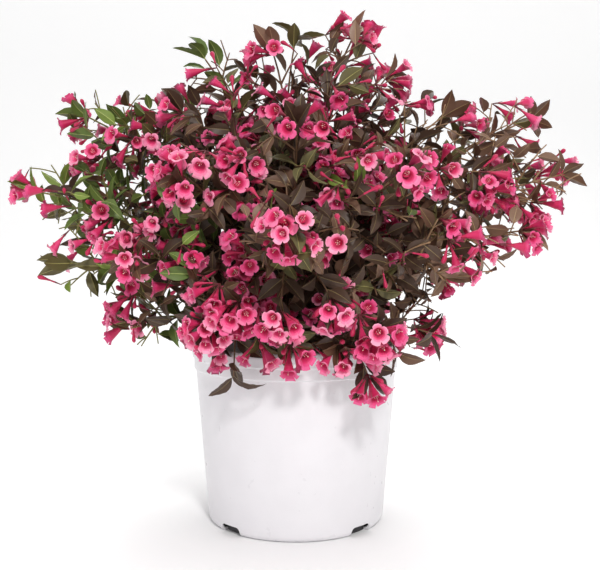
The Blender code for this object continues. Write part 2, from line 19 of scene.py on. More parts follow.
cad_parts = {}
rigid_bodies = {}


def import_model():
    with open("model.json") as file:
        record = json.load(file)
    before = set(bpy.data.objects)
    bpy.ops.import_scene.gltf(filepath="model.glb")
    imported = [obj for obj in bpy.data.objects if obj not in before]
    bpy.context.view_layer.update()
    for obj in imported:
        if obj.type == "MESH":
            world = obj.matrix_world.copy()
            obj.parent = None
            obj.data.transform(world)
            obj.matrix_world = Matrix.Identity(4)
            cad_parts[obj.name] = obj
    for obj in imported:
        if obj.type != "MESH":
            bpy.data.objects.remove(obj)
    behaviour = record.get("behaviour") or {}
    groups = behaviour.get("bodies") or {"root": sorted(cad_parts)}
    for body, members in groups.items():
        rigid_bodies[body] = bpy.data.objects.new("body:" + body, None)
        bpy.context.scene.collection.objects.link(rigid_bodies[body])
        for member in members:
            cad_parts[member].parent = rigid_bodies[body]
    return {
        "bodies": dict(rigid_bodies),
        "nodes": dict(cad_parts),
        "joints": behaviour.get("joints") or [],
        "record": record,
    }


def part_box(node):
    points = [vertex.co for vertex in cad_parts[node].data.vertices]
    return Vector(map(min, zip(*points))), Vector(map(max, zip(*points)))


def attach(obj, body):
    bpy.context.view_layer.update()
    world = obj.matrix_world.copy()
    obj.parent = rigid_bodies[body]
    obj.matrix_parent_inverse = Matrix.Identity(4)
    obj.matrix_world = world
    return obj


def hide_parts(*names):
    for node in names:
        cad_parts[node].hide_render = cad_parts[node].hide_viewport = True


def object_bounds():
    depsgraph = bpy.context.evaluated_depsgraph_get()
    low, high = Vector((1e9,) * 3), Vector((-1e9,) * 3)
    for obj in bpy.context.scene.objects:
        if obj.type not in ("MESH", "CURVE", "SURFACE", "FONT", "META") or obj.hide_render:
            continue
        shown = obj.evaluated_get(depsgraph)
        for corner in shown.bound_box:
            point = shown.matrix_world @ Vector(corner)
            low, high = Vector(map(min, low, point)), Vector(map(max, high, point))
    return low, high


SEED = 12
ROUND = 2 * pi
SQUARE = pi / 2

# Limbs, by the source's rule
SOIL_Z = 0.202
STEM_HEIGHT = 0.07
STEM_PROFILE = ((0.036, 0.0), (0.0275, 0.01), (0.0245, 0.026), (0.024, 0.06),
                (0.018, STEM_HEIGHT))
ROOT_RADIUS = 0.015
LOWEST_ROOT = 0.22
HIGHEST_ROOT = 0.85
ROOT_SPACING = 0.01
ROOT_RISE_SHARE = 0.6
ROOT_ROUNDS = 120
ROOT_EASE = 4
ROOT_LIFT = radians(26)
STEEPEST = radians(84)
TIP_DROOP = radians(20)
HANDLE = 0.36
BOUGH_RADIUS = 0.0038
BOUGH_END_RADIUS = 0.0024
LEADER_END_RADIUS = 0.0011

# Shares of the crown, by the source's rule. A leaf may pass the side of its share.
CONE_POINT = Vector((0.0, 0.0, 0.232))
MASS_CENTRE = 0.85
SHORTEST_BOUGH = 0.36
ENTRY_STEPS = 60
ENTRY_SPARE = 1.5
SIDE_SPARE = 0.026
CROWN_MIDDLE = Vector((0.0, 0.0, 0.36))
PAST_TIP = 0.01
TIP_BREADTH = 0.021
TIP_SPREAD = 0.5
FOOT_REACH = 0.15
FOOT_Z = 0.21
FOOT_UNDER_TIP = 0.022
LEAST_FOOT_RISE = 0.1
MOST_FOOT_RISE = 0.5
STEEP_RISE = 1.05

# Each bough's azimuth in degrees, reach and height of its tip, share of flowers, and how
# far apart its leaves are
FRONT_BOUGHS = {
    "crest_left": (168, 0.143, 0.617, 0.35, 1.5),
    "crest_centre": (205, 0.045, 0.620, 1.0, 1.4),
    "crest_right": (5, 0.090, 0.642, 0.9, 1.5),
    "crest_side": (28, 0.160, 0.598, 0.4, 1.55),
    "brow_left": (200, 0.172, 0.532, 0.4, 1.0),
    "shoulder_left": (172, 0.308, 0.531, 0.75, 1.3),
    "shoulder_right": (2, 0.216, 0.532, 0.4, 1.5),
    "arm_left": (182, 0.358, 0.420, 0.6, 1.3),
    "arm_right_high": (10, 0.348, 0.528, 0.2, 1.7),
    "arm_right": (355, 0.366, 0.442, 0.55, 1.5),
    "flank_left": (190, 0.312, 0.325, 0.8, 1.15),
    "flank_right": (346, 0.312, 0.368, 0.7, 1.35),
    "skirt_left": (196, 0.240, 0.248, 1.1, 1.0),
    "skirt_right": (345, 0.188, 0.236, 0.6, 1.2),
    "front_high": (271, 0.185, 0.500, 0.9, 1.0),
    "front_upper_left": (236, 0.245, 0.436, 1.4, 1.0),
    "front_upper_right": (304, 0.235, 0.436, 0.5, 1.0),
    "front_left": (218, 0.262, 0.335, 1.9, 1.0),
    "front_centre": (270, 0.285, 0.368, 0.75, 1.0),
    "front_right": (321, 0.255, 0.345, 0.5, 1.0),
    "front_low_left": (243, 0.225, 0.258, 1.3, 1.0),
    "front_low_right": (293, 0.192, 0.220, 1.6, 1.0),
}
BACK_RINGS = {
    "back_low": ((58, 122), 0.225, 0.250),
    "back_middle": ((38, 90, 142), 0.290, 0.380),
    "back_high": ((92,), 0.190, 0.505),
}
BACK_BLOOM = 0.75
BACK_OPENNESS = 1.0

# Twigs. Angles are from the run of the limb on which they grow.
NODE_SPACING = 0.024
FEWEST_NODES = 5
LEADER_STEPS = 10
LEADER_OVERLAP = 0.01
LEADER_SPARE = 0.8
RUN_STEP = 0.02
PARALLEL = 1e-6
NEARLY_UPRIGHT = 0.2
TWIG_REACH = 0.112
TWIG_TAPER = 0.72
TWIG_ROOT_ANGLE = radians(76)
TWIG_TIP_ANGLE = radians(40)
TWIG_SWING = 0.2
TWIG_SHORTER = 0.08
TWIG_RADIUS = 0.0014
TWIG_END_RADIUS = 0.0008
TWIG_SAG = 0.1
TWIG_BOW = 0.5
BOW_RISE = 0.6
TIP_FALL = 0.4
TWIG_SPARE = 0.5
TWIG_CLEARANCE = 0.0035
TWIG_STEPS = 5
TWIG_SIDES = 5
PAIR_SPACING = 0.022
FIRST_PAIR = 0.8
PAST_PAIRS = 0.5
FINE_TWIG_SHARE = 0.48
FINE_TWIG_ANGLE = radians(55)
FINE_TWIG_REACH = 0.034
FINE_TWIG_RADIUS = TWIG_END_RADIUS * 1.1
TRIES = 7

# Leaves. Sizes are shares of the leaf's length, and angles are from the run of its limb.
LEAF_LENGTH = 0.044
LEAF_HALF_WIDTH = 0.212
LEAF_UPWARD = 0.3
LEAF_TUMBLE = 1.1
TIP_LEAF_TUMBLE = 0.55
LEAF_ANGLE = radians(58)
LEAF_SWING = 0.22
LEAF_TILT = 0.16
TILT_GROWTH = 0.5
LEAF_SHORTER = 0.04
TIP_LEAF_SHORTER = 0.02
PAIR_LEAF_SIZES = (0.80, 1.12)
PAIR_LEAF_TAPER = 0.28
TWIG_TIP_LEAF_SIZES = (0.55, 0.80)
TWIG_TIP_LEAF_ANGLE = 0.55
LEADER_LEAF_SIZE = 1.05
LEADER_TIP_LEAF_SIZES = (0.9, 1.1)
LEADER_TIP_LEAF_ANGLE = 0.45
LEADER_TIP_LEAVES = 4
LEAF_SPACING = 0.013
LEAF_CLEARANCE = 0.004
LEAF_MIDDLE = Vector((0.52, 0.0, 0.0))
LEAF_PROBES = tuple(map(Vector, ((0.45, 0.22, 0.0), (0.45, -0.22, 0.0), (0.95, 0.0, -0.25),
                                 (0.98, 0.0, 0.0))))
FLOWER_ROOM = 0.0125
UNDER_LEAF = 0.017
TIGHT_SPACING = 0.01
TIGHT_TRIES = 14
OPEN_DEPTH = 0.07
INNER_START = 0.45
INNER_SPACING = 0.026
INNER_SPARE = 0.1
INNER_TWIG_ANGLE = radians(60)
INNER_TWIG_REACH = FINE_TWIG_REACH * 1.6

# Shape of a leaf, and the fold, arch, twist, wave and phase of each of its forms. The
# outline has its scale and the powers that shape its foot and its tip.
LEAF_OUTLINE = (3.43, 0.72, 1.12)
LEAF_ROWS = 9
LEAF_COLUMNS = (-1.0, -0.5, -0.001, 0.0, 0.001, 0.5, 1.0)
RIB_COLUMNS = (2, 3)
RIB_EDGE = 0.001
RIB_HALF_WIDTH = 0.013
RIB_TAPER = 0.7
RIB_DEPTH = 0.4
PETIOLE = 0.07
VEIN_SKEW = 0.42
VEIN_RELIEF = 0.01
PUFF = 0.8
PUFF_GAIN = 8
WAVE_RATE = 9.0
WAVE_SHIFT = 1.3
LEAF_FORMS = (
    (0.34, 0.55, 0.10, 0.012, 0.0), (0.22, 0.80, -0.25, 0.018, 1.0),
    (0.48, 0.35, 0.20, 0.010, 2.2), (0.15, 0.62, 0.30, 0.022, 3.1),
    (0.28, 1.05, 0.05, 0.016, 4.0), (0.40, 0.20, -0.15, 0.014, 5.2),
    (0.10, 0.45, -0.35, 0.024, 0.6), (0.55, 0.75, 0.00, 0.012, 1.9),
)

# Clusters of flowers and buds
MANY_FLOWERS = (6, 7, 8, 9)
FEW_FLOWERS = (3, 4, 5)
CLUSTER_BUDS = (1, 2, 2, 3)
TWIG_BLOOM = 0.78
FINE_TWIG_BLOOM = 0.5
CLUSTER_TURN = 2.4
CLUSTER_STALK = 0.008
INNER_TILT = 0.25
TILT_SPREAD = 0.95
CLUSTER_ALONG = 0.8
CLUSTER_OUTWARD = 0.5
CLUSTER_SAG = Vector((0.0, 0.0, -0.15))
FLOWER_DROOP = 0.32
FLOWER_SIZES = (0.80, 1.04)
FLOWER_SPACING = 0.0094
FLOWER_CLEARANCE = 0.01
FLOWER_MIDDLE = 0.8
FLOWER_TUMBLE = 0.5
FLOWER_FACE = Vector((0.0, 0.0, 1.2))

# Trumpet: share of its length, and radius in metres, from the foot to the mouth. Each form
# has its own opening, curl, bend and phase.
FLOWER_LENGTH = 0.034
TUBE_PROFILE = ((0.0, 0.0011), (0.18, 0.0014), (0.36, 0.0025), (0.54, 0.0042), (0.75, 0.0058))
LOBES = 5
LOBE_COLUMNS = (0.0, 0.11, 0.36, 0.66, 0.89)
LOBE_ROWS = (0.30, 0.62, 0.88, 1.0)
LOBE_LENGTH = 0.0078
LOBE_ROUNDNESS = 0.3
LOBE_CLEFT = 0.6
LOBE_CUP = 0.0017
LOBE_SWAY = 0.4
SWAY_STEP = 1.9
UNEVENNESS = 0.1
UNEVEN_STEP = 2.4
LOWER_LIP = 0.2
UPPER_BANDS = (0, 0, 1, 1, 2, 3, 3, 4)
LOWER_BANDS = (0, 0, 1, 1, 2, 3, 4, 4)
FLOWER_FORMS = ((0.45, 0.46, 0.06, 0.0), (0.30, 0.60, 0.12, 1.0), (0.62, 0.42, 0.0, 2.0),
                (0.14, 0.34, 0.10, 3.0), (0.38, 0.86, 0.16, 4.0))

# Heart: stations are shares of the flower's length. The radii are of a stalk and its knob.
STAMEN = ((0.46, 0.0022), (0.74, 0.0021))
STAMEN_RADII = (0.00022, 0.0005)
STYLE = ((0.45, 0.0), (0.90, 0.0006))
STYLE_RADII = (0.00024, 0.0007)
KNOB_LENGTH = 1.6
THROAT = (0.5, 0.6)
THROAT_SIDES = 10
THROAT_RADIUS = 0.0045
OVARY = ((-0.008, 0.0007), (-0.004, 0.0011), (0.0, 0.0014), (0.0012, 0.0012))
SEPALS = 5
SEPAL_FOOT = (0.0013, 0.0008)
SEPAL_TIP = (0.0085, 0.0036)

# Bud: share of its length and radius in metres, from the foot of its stalk to its tip
BUD_LENGTH = 0.021
BUD_PROFILE = ((-0.38, 0.0006), (-0.12, 0.0009), (0.0, 0.0012), (0.25, 0.0011),
               (0.50, 0.0017), (0.72, 0.0029), (0.88, 0.0031), (0.97, 0.0018))
BUD_TIP = 1.02
BUD_SIDES = 6
BUD_BENDS = (0.05, -0.10, 0.16)

# Sprays that grow free of the shares, by mass: share of its leader, tip, and how many
# flowers open at the tip: none, few or many
FREE_SPRAYS = {
    "front_low_left": (
        (0.45, (-0.068, -0.155, 0.204), "none"), (0.35, (-0.088, -0.126, 0.244), "few"),
        (0.55, (-0.042, -0.154, 0.246), "few"), (0.70, (-0.006, -0.160, 0.242), "few"),
        (0.60, (-0.095, -0.168, 0.266), "many")),
    "front_centre": (
        (0.20, (-0.060, -0.182, 0.288), "many"), (0.30, (-0.015, -0.196, 0.280), "many"),
        (0.25, (0.038, -0.186, 0.292), "many")),
    "front_low_right": (
        (0.55, (0.088, -0.168, 0.258), "many"), (0.30, (0.048, -0.154, 0.238), "few"),
        (0.60, (0.080, -0.152, 0.206), "few")),
    "skirt_right": (
        (0.45, (0.160, -0.095, 0.244), "none"), (0.30, (0.116, -0.108, 0.226), "none")),
    "arm_right": ((0.45, (0.285, -0.050, 0.400), "few"),),
    "crest_centre": ((0.60, (0.002, -0.010, 0.604), "none"),),
}
SPRAY_STEPS = 8
SPRAY_NODES = (5, 7, 8)
SPRAY_LEAF_SIZE = 0.88
SPRAY_LEAF_ANGLE = 0.8
SPRAY_BOW = 0.62
SPRAY_LIFTS = (0.006, 0.014, 0.024, 0.036)
SPRAY_CLEARANCE = 0.003

# Colours, in the 0 to 255 values in which a screen shows them. Leaf tints: blade, midrib
LEAF_TINTS = {
    "dark": ((72, 53, 41), (128, 110, 74)),
    "brown": ((102, 74, 57), (154, 130, 90)),
    "olive": ((96, 89, 55), (162, 155, 94)),
    "green": ((92, 110, 52), (168, 180, 104)),
    "fresh": ((118, 138, 60), (186, 196, 116)),
    "bronze": ((130, 101, 82), (176, 150, 116)),
}

# How often each tint comes up at the left, in the middle and at the right of the crown,
# and where the middle gives way
LEFT_MIX = (3, 2, 5, 6, 1.4, 0.6)
MIDDLE_MIX = (9, 4.5, 3.0, 0.2, 0.1, 1.2)
RIGHT_MIX = (3.5, 5, 2.0, 0.2, 0.1, 4.5)
RIGHT_REACH = 0.24
LEFT_START = 0.1
LEFT_REACH = 0.14
HIGH_START = 0.48

# Petal colours of three ages of flower, from the foot of the tube to the lobes' edge, and
# how often each age comes up
PETALS = {
    "young": ((178, 12, 66), (194, 20, 82), (206, 34, 98), (216, 58, 118), (224, 84, 138)),
    "full": ((190, 18, 74), (208, 32, 94), (220, 58, 118), (231, 88, 140), (237, 116, 158)),
    "pale": ((198, 30, 84), (218, 54, 112), (232, 94, 142), (240, 128, 166), (245, 156, 184)),
}
AGES = (3, 4, 3)
BUD_PINK = (190, 24, 78)
CALYX_MAROON = (104, 42, 48)
FILAMENT_PINK = (240, 176, 190)
ANTHER_CREAM = (240, 226, 200)
THROAT_PINK = (196, 26, 82)
# Twig bark, and how far right of the plant's middle the second and third begin
YOUNG_BARKS = {"olive": (124, 118, 62), "brown": (112, 82, 58), "tan": (150, 118, 86)}
BARK_BORDERS = (-0.16, 0.12)
OLD_BARK = ((0.32, (74, 54, 40)), (0.50, (112, 86, 64)), (0.70, (150, 122, 94)))
POT_WHITE = (227, 225, 230)
POT_TONES = ((0.35, (226, 224, 227)), (0.65, (229, 227, 230)))
# Dark grey of the recesses behind the drain notches: painted shade in place of the shadow inside
# them
RECESS_PAINTED_SHADE = (66, 64, 67)
SOIL_BROWN = (52, 40, 32)
SOIL_TONES = ((0.35, (26, 19, 15)), (0.52, (54, 41, 32)), (0.70, (92, 74, 58)))
CHIP_BROWN = (86, 62, 46)
CHIP_TONES = ((0.35, (52, 36, 27)), (0.65, (112, 84, 60)))


# Meshes from arrays

def add_object(name, data):
    thing = bpy.data.objects.new(name, data)
    bpy.context.scene.collection.objects.link(thing)
    return thing


def unrolled(faces):
    """The corners of all faces in a row, and the number of corners of each."""
    return (np.array([index for face in faces for index in face]),
            np.array([len(face) for face in faces]))


class Template:
    """Small mesh that is stamped many times: variants of its points, faces and slots."""

    def __init__(self, variants, faces, slots):
        self.variants = [np.array(points, float) for points in variants]
        self.loops, self.sizes = unrolled(faces)
        self.slots = np.array(slots)


class Batch:
    """Points, faces and slots gathered for one joined piece."""

    def __init__(self):
        self.points, self.loops, self.sizes, self.slots = [], [], [], []
        self.count = 0

    def add(self, points, loops, sizes, slots):
        self.points.append(points)
        self.loops.append(loops + self.count)
        self.sizes.append(sizes)
        self.slots.append(slots)
        self.count += len(points)

    def add_faces(self, points, faces, slot):
        self.add(np.array(points), *unrolled(faces), np.full(len(faces), slot))

    def stamp(self, template, places):
        """Add a template at each place: a matrix, a variant and a first slot."""
        for variant, points in enumerate(template.variants):
            chosen = [place for place in places if place[1] == variant]
            if chosen:
                frames = np.array([matrix for matrix, _, _ in chosen])
                first = np.array([slot for _, _, slot in chosen])
                moved = np.einsum("nij,pj->npi", frames[:, :3, :3], points)
                moved += frames[:, None, :3, 3]
                steps = np.arange(len(chosen)) * len(points)
                self.add(moved.reshape(-1, 3), (template.loops + steps[:, None]).ravel(),
                         np.tile(template.sizes, len(chosen)),
                         (template.slots + first[:, None]).ravel())

    def piece(self, name, looks):
        """The joined piece, which rides on the plant's only body."""
        mesh = bpy.data.meshes.new(name)
        points, loops, sizes, slots = (
            np.concatenate(part) for part in (self.points, self.loops, self.sizes, self.slots))
        mesh.vertices.add(len(points))
        mesh.loops.add(len(loops))
        mesh.polygons.add(len(sizes))
        for look in looks:
            mesh.materials.append(look.material)
        for part, key, values, kind in (
                (mesh.vertices, "co", points.ravel(), np.float32),
                (mesh.loops, "vertex_index", loops, np.int32),
                (mesh.polygons, "loop_start", np.cumsum(sizes) - sizes, np.int32),
                (mesh.polygons, "material_index", slots, np.int32),
                (mesh.polygons, "use_smooth", np.ones(len(sizes)), bool)):
            part.foreach_set(key, values.astype(kind))
        mesh.update(calc_edges=True)
        thing = add_object(name, mesh)
        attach(thing, "root")
        return thing


def turns_round(sides):
    return [ROUND * side / sides for side in range(sides)]


def polar(radius, turn, height):
    return radius * cos(turn), radius * sin(turn), height


def grid_faces(rows, columns):
    """Quads between rows of points, each of which closes to a ring."""
    faces = []
    for low in range(0, (rows - 1) * columns, columns):
        for column in range(columns):
            after = (column + 1) % columns
            high = low + columns
            faces.append((low + column, low + after, high + after, high + column))
    return faces


def capped_faces(rows, sides):
    """Quads between rings of points, and a face that closes the last ring."""
    return [*grid_faces(rows, sides), tuple(range((rows - 1) * sides, rows * sides))]


def tube(points, radii, sides):
    """Points and faces of a round limb along a chain of points, closed at its tip."""
    chain = np.array([tuple(point) for point in points])
    along = np.gradient(chain, axis=0)
    along /= np.linalg.norm(along, axis=1)[:, None]
    side = np.cross(along, (0.31, 0.17, 0.94))
    side /= np.linalg.norm(side, axis=1)[:, None]
    other = np.cross(along, side)
    turns = np.array(turns_round(sides))
    ring = (np.cos(turns)[None, :, None] * side[:, None, :]
            + np.sin(turns)[None, :, None] * other[:, None, :])
    skin = chain[:, None, :] + ring * np.array(radii)[:, None, None]
    return skin.reshape(-1, 3), capped_faces(len(chain), sides)


# Materials

def colour(shown):
    """Linear colour from the 0 to 255 values in which a screen shows it."""
    shown = np.array(shown) / 255.0
    linear = np.where(shown <= 0.04045, shown / 12.92, ((shown + 0.055) / 1.055) ** 2.4)
    return tuple(linear.tolist())


def put(node, **values):
    """Set the inputs of a node, whose names have underscores here for their spaces."""
    for name, value in values.items():
        node.inputs[name.replace("_", " ")].default_value = value
    return node


class Look:
    """A material whose colour, roughness and relief may follow noises.

    A grain is a noise's scale, its detail, and how much it is drawn out along Z.
    """

    def __init__(self, name, base, roughness, **values):
        self.material = bpy.data.materials.new(name)
        self.material.use_nodes = True
        self.material.diffuse_color = (*base, 1.0)
        self.nodes, self.links = self.material.node_tree.nodes, self.material.node_tree.links
        self.shader = self.nodes["Principled BSDF"]
        put(self.shader, Base_Color=(*base, 1.0), Roughness=roughness, **values)

    def node(self, kind, **values):
        return put(self.nodes.new("ShaderNode" + kind), **values)

    def noise(self, scale, detail, stretch=1.0):
        place = self.node("TexCoord")
        turn = self.node("Mapping", Scale=(1.0, 1.0, stretch))
        texture = self.node("TexNoise", Scale=scale, Detail=detail)
        self.links.new(place.outputs["Object"], turn.inputs["Vector"])
        self.links.new(turn.outputs["Vector"], texture.inputs["Vector"])
        return texture.outputs["Fac"]

    def lead(self, source, node, enter, leave, target):
        """Lead a value through a node into an input of the shader."""
        self.links.new(source, node.inputs[enter])
        self.links.new(node.outputs[leave], self.shader.inputs[target])
        return self

    def tone(self, grain, stops):
        """Colour by a noise, through the stops of a ramp."""
        ramp = self.node("ValToRGB")
        elements = ramp.color_ramp.elements
        elements[0].position, elements[1].position = stops[0][0], stops[-1][0]
        for place, _ in stops[1:-1]:
            elements.new(place)
        for element, (_, shown) in zip(elements, stops):
            element.color = (*colour(shown), 1.0)
        return self.lead(self.noise(*grain), ramp, "Fac", "Color", "Base Color")

    def rough(self, grain, low, high):
        """Roughness by a noise, from low to high."""
        span = self.node("MapRange", From_Min=0.3, From_Max=0.7, To_Min=low, To_Max=high)
        return self.lead(self.noise(*grain), span, "Value", "Result", "Roughness")

    def relief(self, grain, depth, strength):
        """Fine relief by a noise."""
        bump = self.node("Bump", Distance=depth, Strength=strength)
        return self.lead(self.noise(*grain), bump, "Height", "Normal", "Normal")


def leaf_look(name, shown, roughness):
    """Soft waxy leaf with a fine grain."""
    look = Look(name, colour(shown), roughness, Specular_IOR_Level=0.35)
    look.rough((160.0, 2.0), roughness - 0.08, roughness + 0.10)
    return look.relief((900.0, 3.0), 0.0004, 0.5)


def petal_look(name, shown):
    """Petal with a faint sheen and fine streaks."""
    look = Look(name, colour(shown), 0.55, Sheen_Weight=0.15)
    return look.rough((300.0, 2.0), 0.48, 0.62).relief((700.0, 2.0), 0.0003, 0.4)


# Limbs, by the source's rule

def crown_plan():
    plan = dict(FRONT_BOUGHS)
    for ring, (azimuths, reach, height) in BACK_RINGS.items():
        for index, azimuth in enumerate(azimuths):
            name = ring if len(azimuths) == 1 else f"{ring}_{index + 1}"
            plan[name] = (azimuth, reach, height, BACK_BLOOM, BACK_OPENNESS)
    return plan


def heading(azimuth, rise):
    return Vector(polar(cos(rise), azimuth, sin(rise)))


def tip_rise(reach, height):
    return atan2(height - SOIL_Z - STEM_HEIGHT / 2, reach)


def root_place(turn, reach, height):
    steep = max(0.0, tip_rise(reach, height)) / radians(90)
    share = LOWEST_ROOT + (HIGHEST_ROOT - LOWEST_ROOT) * steep
    return Vector(polar(ROOT_RADIUS, turn, SOIL_Z + STEM_HEIGHT * share))


def root_turns(plan):
    """Turn of each bough's root about the stem, so that no two roots crowd."""
    turns = {name: radians(row[0]) for name, row in plan.items()}
    for _ in range(ROOT_ROUNDS):
        for name, other in itertools.product(turns, turns):
            apart = (root_place(turns[name], *plan[name][1:3])
                     - root_place(turns[other], *plan[other][1:3]))
            apart.z *= ROOT_RISE_SHARE
            short = ROOT_SPACING - apart.length
            if other != name and short > 0.0:
                side = copysign(1.0, sin(turns[name] - turns[other]))
                turns[name] += side * short / ROOT_RADIUS / ROOT_EASE
    return turns


def limb_curve(turn, azimuth, reach, height):
    azimuth = radians(azimuth)
    start = root_place(turn, reach, height)
    tip = Vector(polar(reach, azimuth, height))
    span = (tip - start).length
    rise = tip_rise(reach, height)
    out = heading(turn, min(rise + ROOT_LIFT, STEEPEST)) * HANDLE * span
    back = heading(azimuth, rise - TIP_DROOP) * HANDLE * span
    return start, start + out, tip - back, tip


def on_curve(curve, share):
    a, b, c, d = curve
    rest = 1.0 - share
    return a * rest**3 + b * 3 * rest**2 * share + c * 3 * rest * share**2 + d * share**3


def stretch(curve, start, end, steps):
    return [on_curve(curve, start + (end - start) * i / steps) for i in range(steps + 1)]


class Share:
    """The part of the crown that one mass keeps to: the inner side of some planes."""

    def __init__(self, name, curves, headings, box):
        self.low, self.high = (np.array(corner) for corner in box)
        tip = curves[name][3]
        out = (tip - CROWN_MIDDLE).normalized()
        level = Vector((tip.x, tip.y, 0.0)).normalized()
        foot = tip - Vector((0.0, 0.0, FOOT_UNDER_TIP))
        rise = STEEP_RISE
        if level.dot(tip) > FOOT_REACH:
            rise = (foot.z - FOOT_Z) / (level.dot(tip) - FOOT_REACH)
        if rise < STEEP_RISE:
            rise = min(MOST_FOOT_RISE, max(LEAST_FOOT_RISE, rise))
        else:
            rise = 0.0
            foot.z = FOOT_Z
        under = Vector((rise * level.x, rise * level.y, -1.0))
        self.tip, self.out = np.array(tip), np.array(out)
        planes = [(out, out.dot(tip) + PAST_TIP), (under, under.dot(foot))]
        self.outer = len(planes)
        for other, aside in headings.items():
            if other != name:
                normal = (aside - headings[name]).normalized()
                planes.append((normal, normal.dot(CONE_POINT)))
        self.normals = np.array([tuple(normal) for normal, _ in planes])
        self.offsets = np.array([offset for _, offset in planes])

    def holds(self, points, spare=0.0):
        """True if all points are inside, or pass only a side, by no more than the spare."""
        places = np.array(points)
        reach = places @ self.normals.T - self.offsets
        reach[:, self.outer:] -= spare
        apart = places - self.tip
        ahead = apart @ self.out
        aside = np.linalg.norm(apart - ahead[:, None] * self.out, axis=1)
        near_tip = aside < TIP_BREADTH + TIP_SPREAD * (PAST_TIP - ahead)
        return bool((reach < 0.0).all() and near_tip.all())

    def in_box(self, points):
        """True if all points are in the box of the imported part."""
        places = np.array(points)
        return bool((places > self.low).all() and (places < self.high).all())


def entry(curve, share):
    """Share of its run at which a limb enters its own mass for good."""
    place = 1.0
    for index in range(ENTRY_STEPS, -1, -1):
        if not share.holds([tuple(on_curve(curve, index / ENTRY_STEPS))]):
            break
        place = index / ENTRY_STEPS
    return max(SHORTEST_BOUGH, place + ENTRY_SPARE / ENTRY_STEPS)


# Templates

def leaf_outline(share):
    """Half width along the blade, as a share of the widest: full low down, then pointed."""
    scale, foot, tip = LEAF_OUTLINE
    return scale * share**foot * (1.0 - share) ** tip


def leaf_variant(fold, arch, twist, wave, phase):
    """Points of a leaf of unit length along +X, with its face to +Z."""
    points = []
    for row in range(LEAF_ROWS + 2):
        station = 0.0 if row == 0 else PETIOLE + (1.0 - PETIOLE) * (row - 1) / LEAF_ROWS
        blade = max(0.0, (station - PETIOLE) / (1.0 - PETIOLE))
        wide = LEAF_HALF_WIDTH * leaf_outline(blade)
        rib = RIB_HALF_WIDTH * (1.0 - RIB_TAPER * station)
        relief = VEIN_RELIEF if row % 2 else -VEIN_RELIEF
        turn = twist * station
        for column in LEAF_COLUMNS:
            part = abs(column)
            if part <= RIB_EDGE:
                y = copysign(rib, column) if column else 0.0
                lift = 0.0 if column else -RIB_DEPTH * rib
            else:
                y = copysign(rib + max(0.0, wide - rib) * part, column)
                lift = relief * sin(pi * part * PUFF) * min(1.0, wide * PUFF_GAIN)
                ripple = WAVE_RATE * station + phase + (column > 0) * WAVE_SHIFT
                lift += wave * part**2 * sin(ripple)
            x = station + VEIN_SKEW * part * wide * (1.0 - blade) * blade**0.3
            z = abs(y) * tan(fold) + lift
            y, z = (y * cos(turn) - z * sin(turn),
                    y * sin(turn) + z * cos(turn))
            bend = arch * x
            points.append((x * (1.0 - bend**2 / 6) + z * sin(bend), y,
                           -x * bend / 2 + z * cos(bend)))
    return points


def leaf_template():
    """Blade, and midrib in a slot of its own, which alone forms the petiole."""
    columns = len(LEAF_COLUMNS)
    tip = (LEAF_ROWS + 1) * columns + columns // 2
    faces = []
    slots = []
    for row, column in itertools.product(range(LEAF_ROWS + 1), range(columns - 1)):
        rib = column in RIB_COLUMNS
        if rib or row > 0:
            low = row * columns + column
            far = (tip,) if row == LEAF_ROWS else (low + columns + 1, low + columns)
            faces.append((low, low + 1, *far))
            slots.append(int(rib))
    return Template([leaf_variant(*form) for form in LEAF_FORMS], faces, slots)


def flower_variant(opening, curl, bend, phase):
    """Points of a flower along +X: the tube, then lobes that open and curl back."""
    columns = [(lobe, part) for lobe in range(LOBES) for part in LOBE_COLUMNS]
    rows = [[(station * FLOWER_LENGTH, radius)] * len(columns)
            for station, radius in TUBE_PROFILE]
    mouth = TUBE_PROFILE[-1]
    for share in LOBE_ROWS:
        row = []
        for lobe, part in columns:
            width = abs(sin(pi * part)) ** LOBE_ROUNDNESS
            lower = -sin(ROUND * (lobe + 0.5) / LOBES)
            own = 1.0 + UNEVENNESS * sin(phase + UNEVEN_STEP * lobe) + LOWER_LIP * lower
            reach = LOBE_LENGTH * share * (1.0 - LOBE_CLEFT + LOBE_CLEFT * width) * own
            sway = LOBE_SWAY * sin(phase * 2 + lobe * SWAY_STEP) ** 2
            lean = opening * (1.0 - LOBE_SWAY + sway) + curl * share**2
            cup = LOBE_CUP * share * cos(ROUND * part)
            row.append((mouth[0] * FLOWER_LENGTH + cos(lean) * reach + cup,
                        mouth[1] + sin(lean) * reach))
        rows.append(row)
    points = []
    for row in rows:
        for (lobe, part), (x, radius) in zip(columns, row):
            turn = ROUND * (lobe + part) / LOBES
            sag = bend * (x / FLOWER_LENGTH) ** 2 * FLOWER_LENGTH
            points.append((x, radius * cos(turn), radius * sin(turn) - sag))
    return points


def flower_template():
    """Tube and lobes. The lower lobes are pale further down than the upper ones."""
    columns = LOBES * len(LOBE_COLUMNS)
    faces = grid_faces(len(TUBE_PROFILE) + len(LOBE_ROWS), columns)
    slots = []
    for index in range(len(faces)):
        lobe = index % columns // len(LOBE_COLUMNS)
        lower = sin(ROUND * (lobe + 0.5) / LOBES) < 0.0
        slots.append((LOWER_BANDS if lower else UPPER_BANDS)[index // columns])
    return Template([flower_variant(*form) for form in FLOWER_FORMS], faces, slots)


def stalk_parts(start, end, radius, knob):
    """Three-sided stalk with a long knob at its end, as two parts of a flower's heart."""
    reach = Vector((knob * KNOB_LENGTH, 0, 0))
    ring = [end + Vector((0, y, z)) * knob for y, z in ((1, 0), (0, 1), (-1, 0), (0, -1))]
    faces = []
    for index in range(4):
        here, after = 2 + index, 2 + (index + 1) % 4
        faces += [(0, here, after), (1, after, here)]
    return [(*tube([start, end], [radius] * 2, 3), 0),
            ([end + reach, end - reach, *ring], faces, 2)]


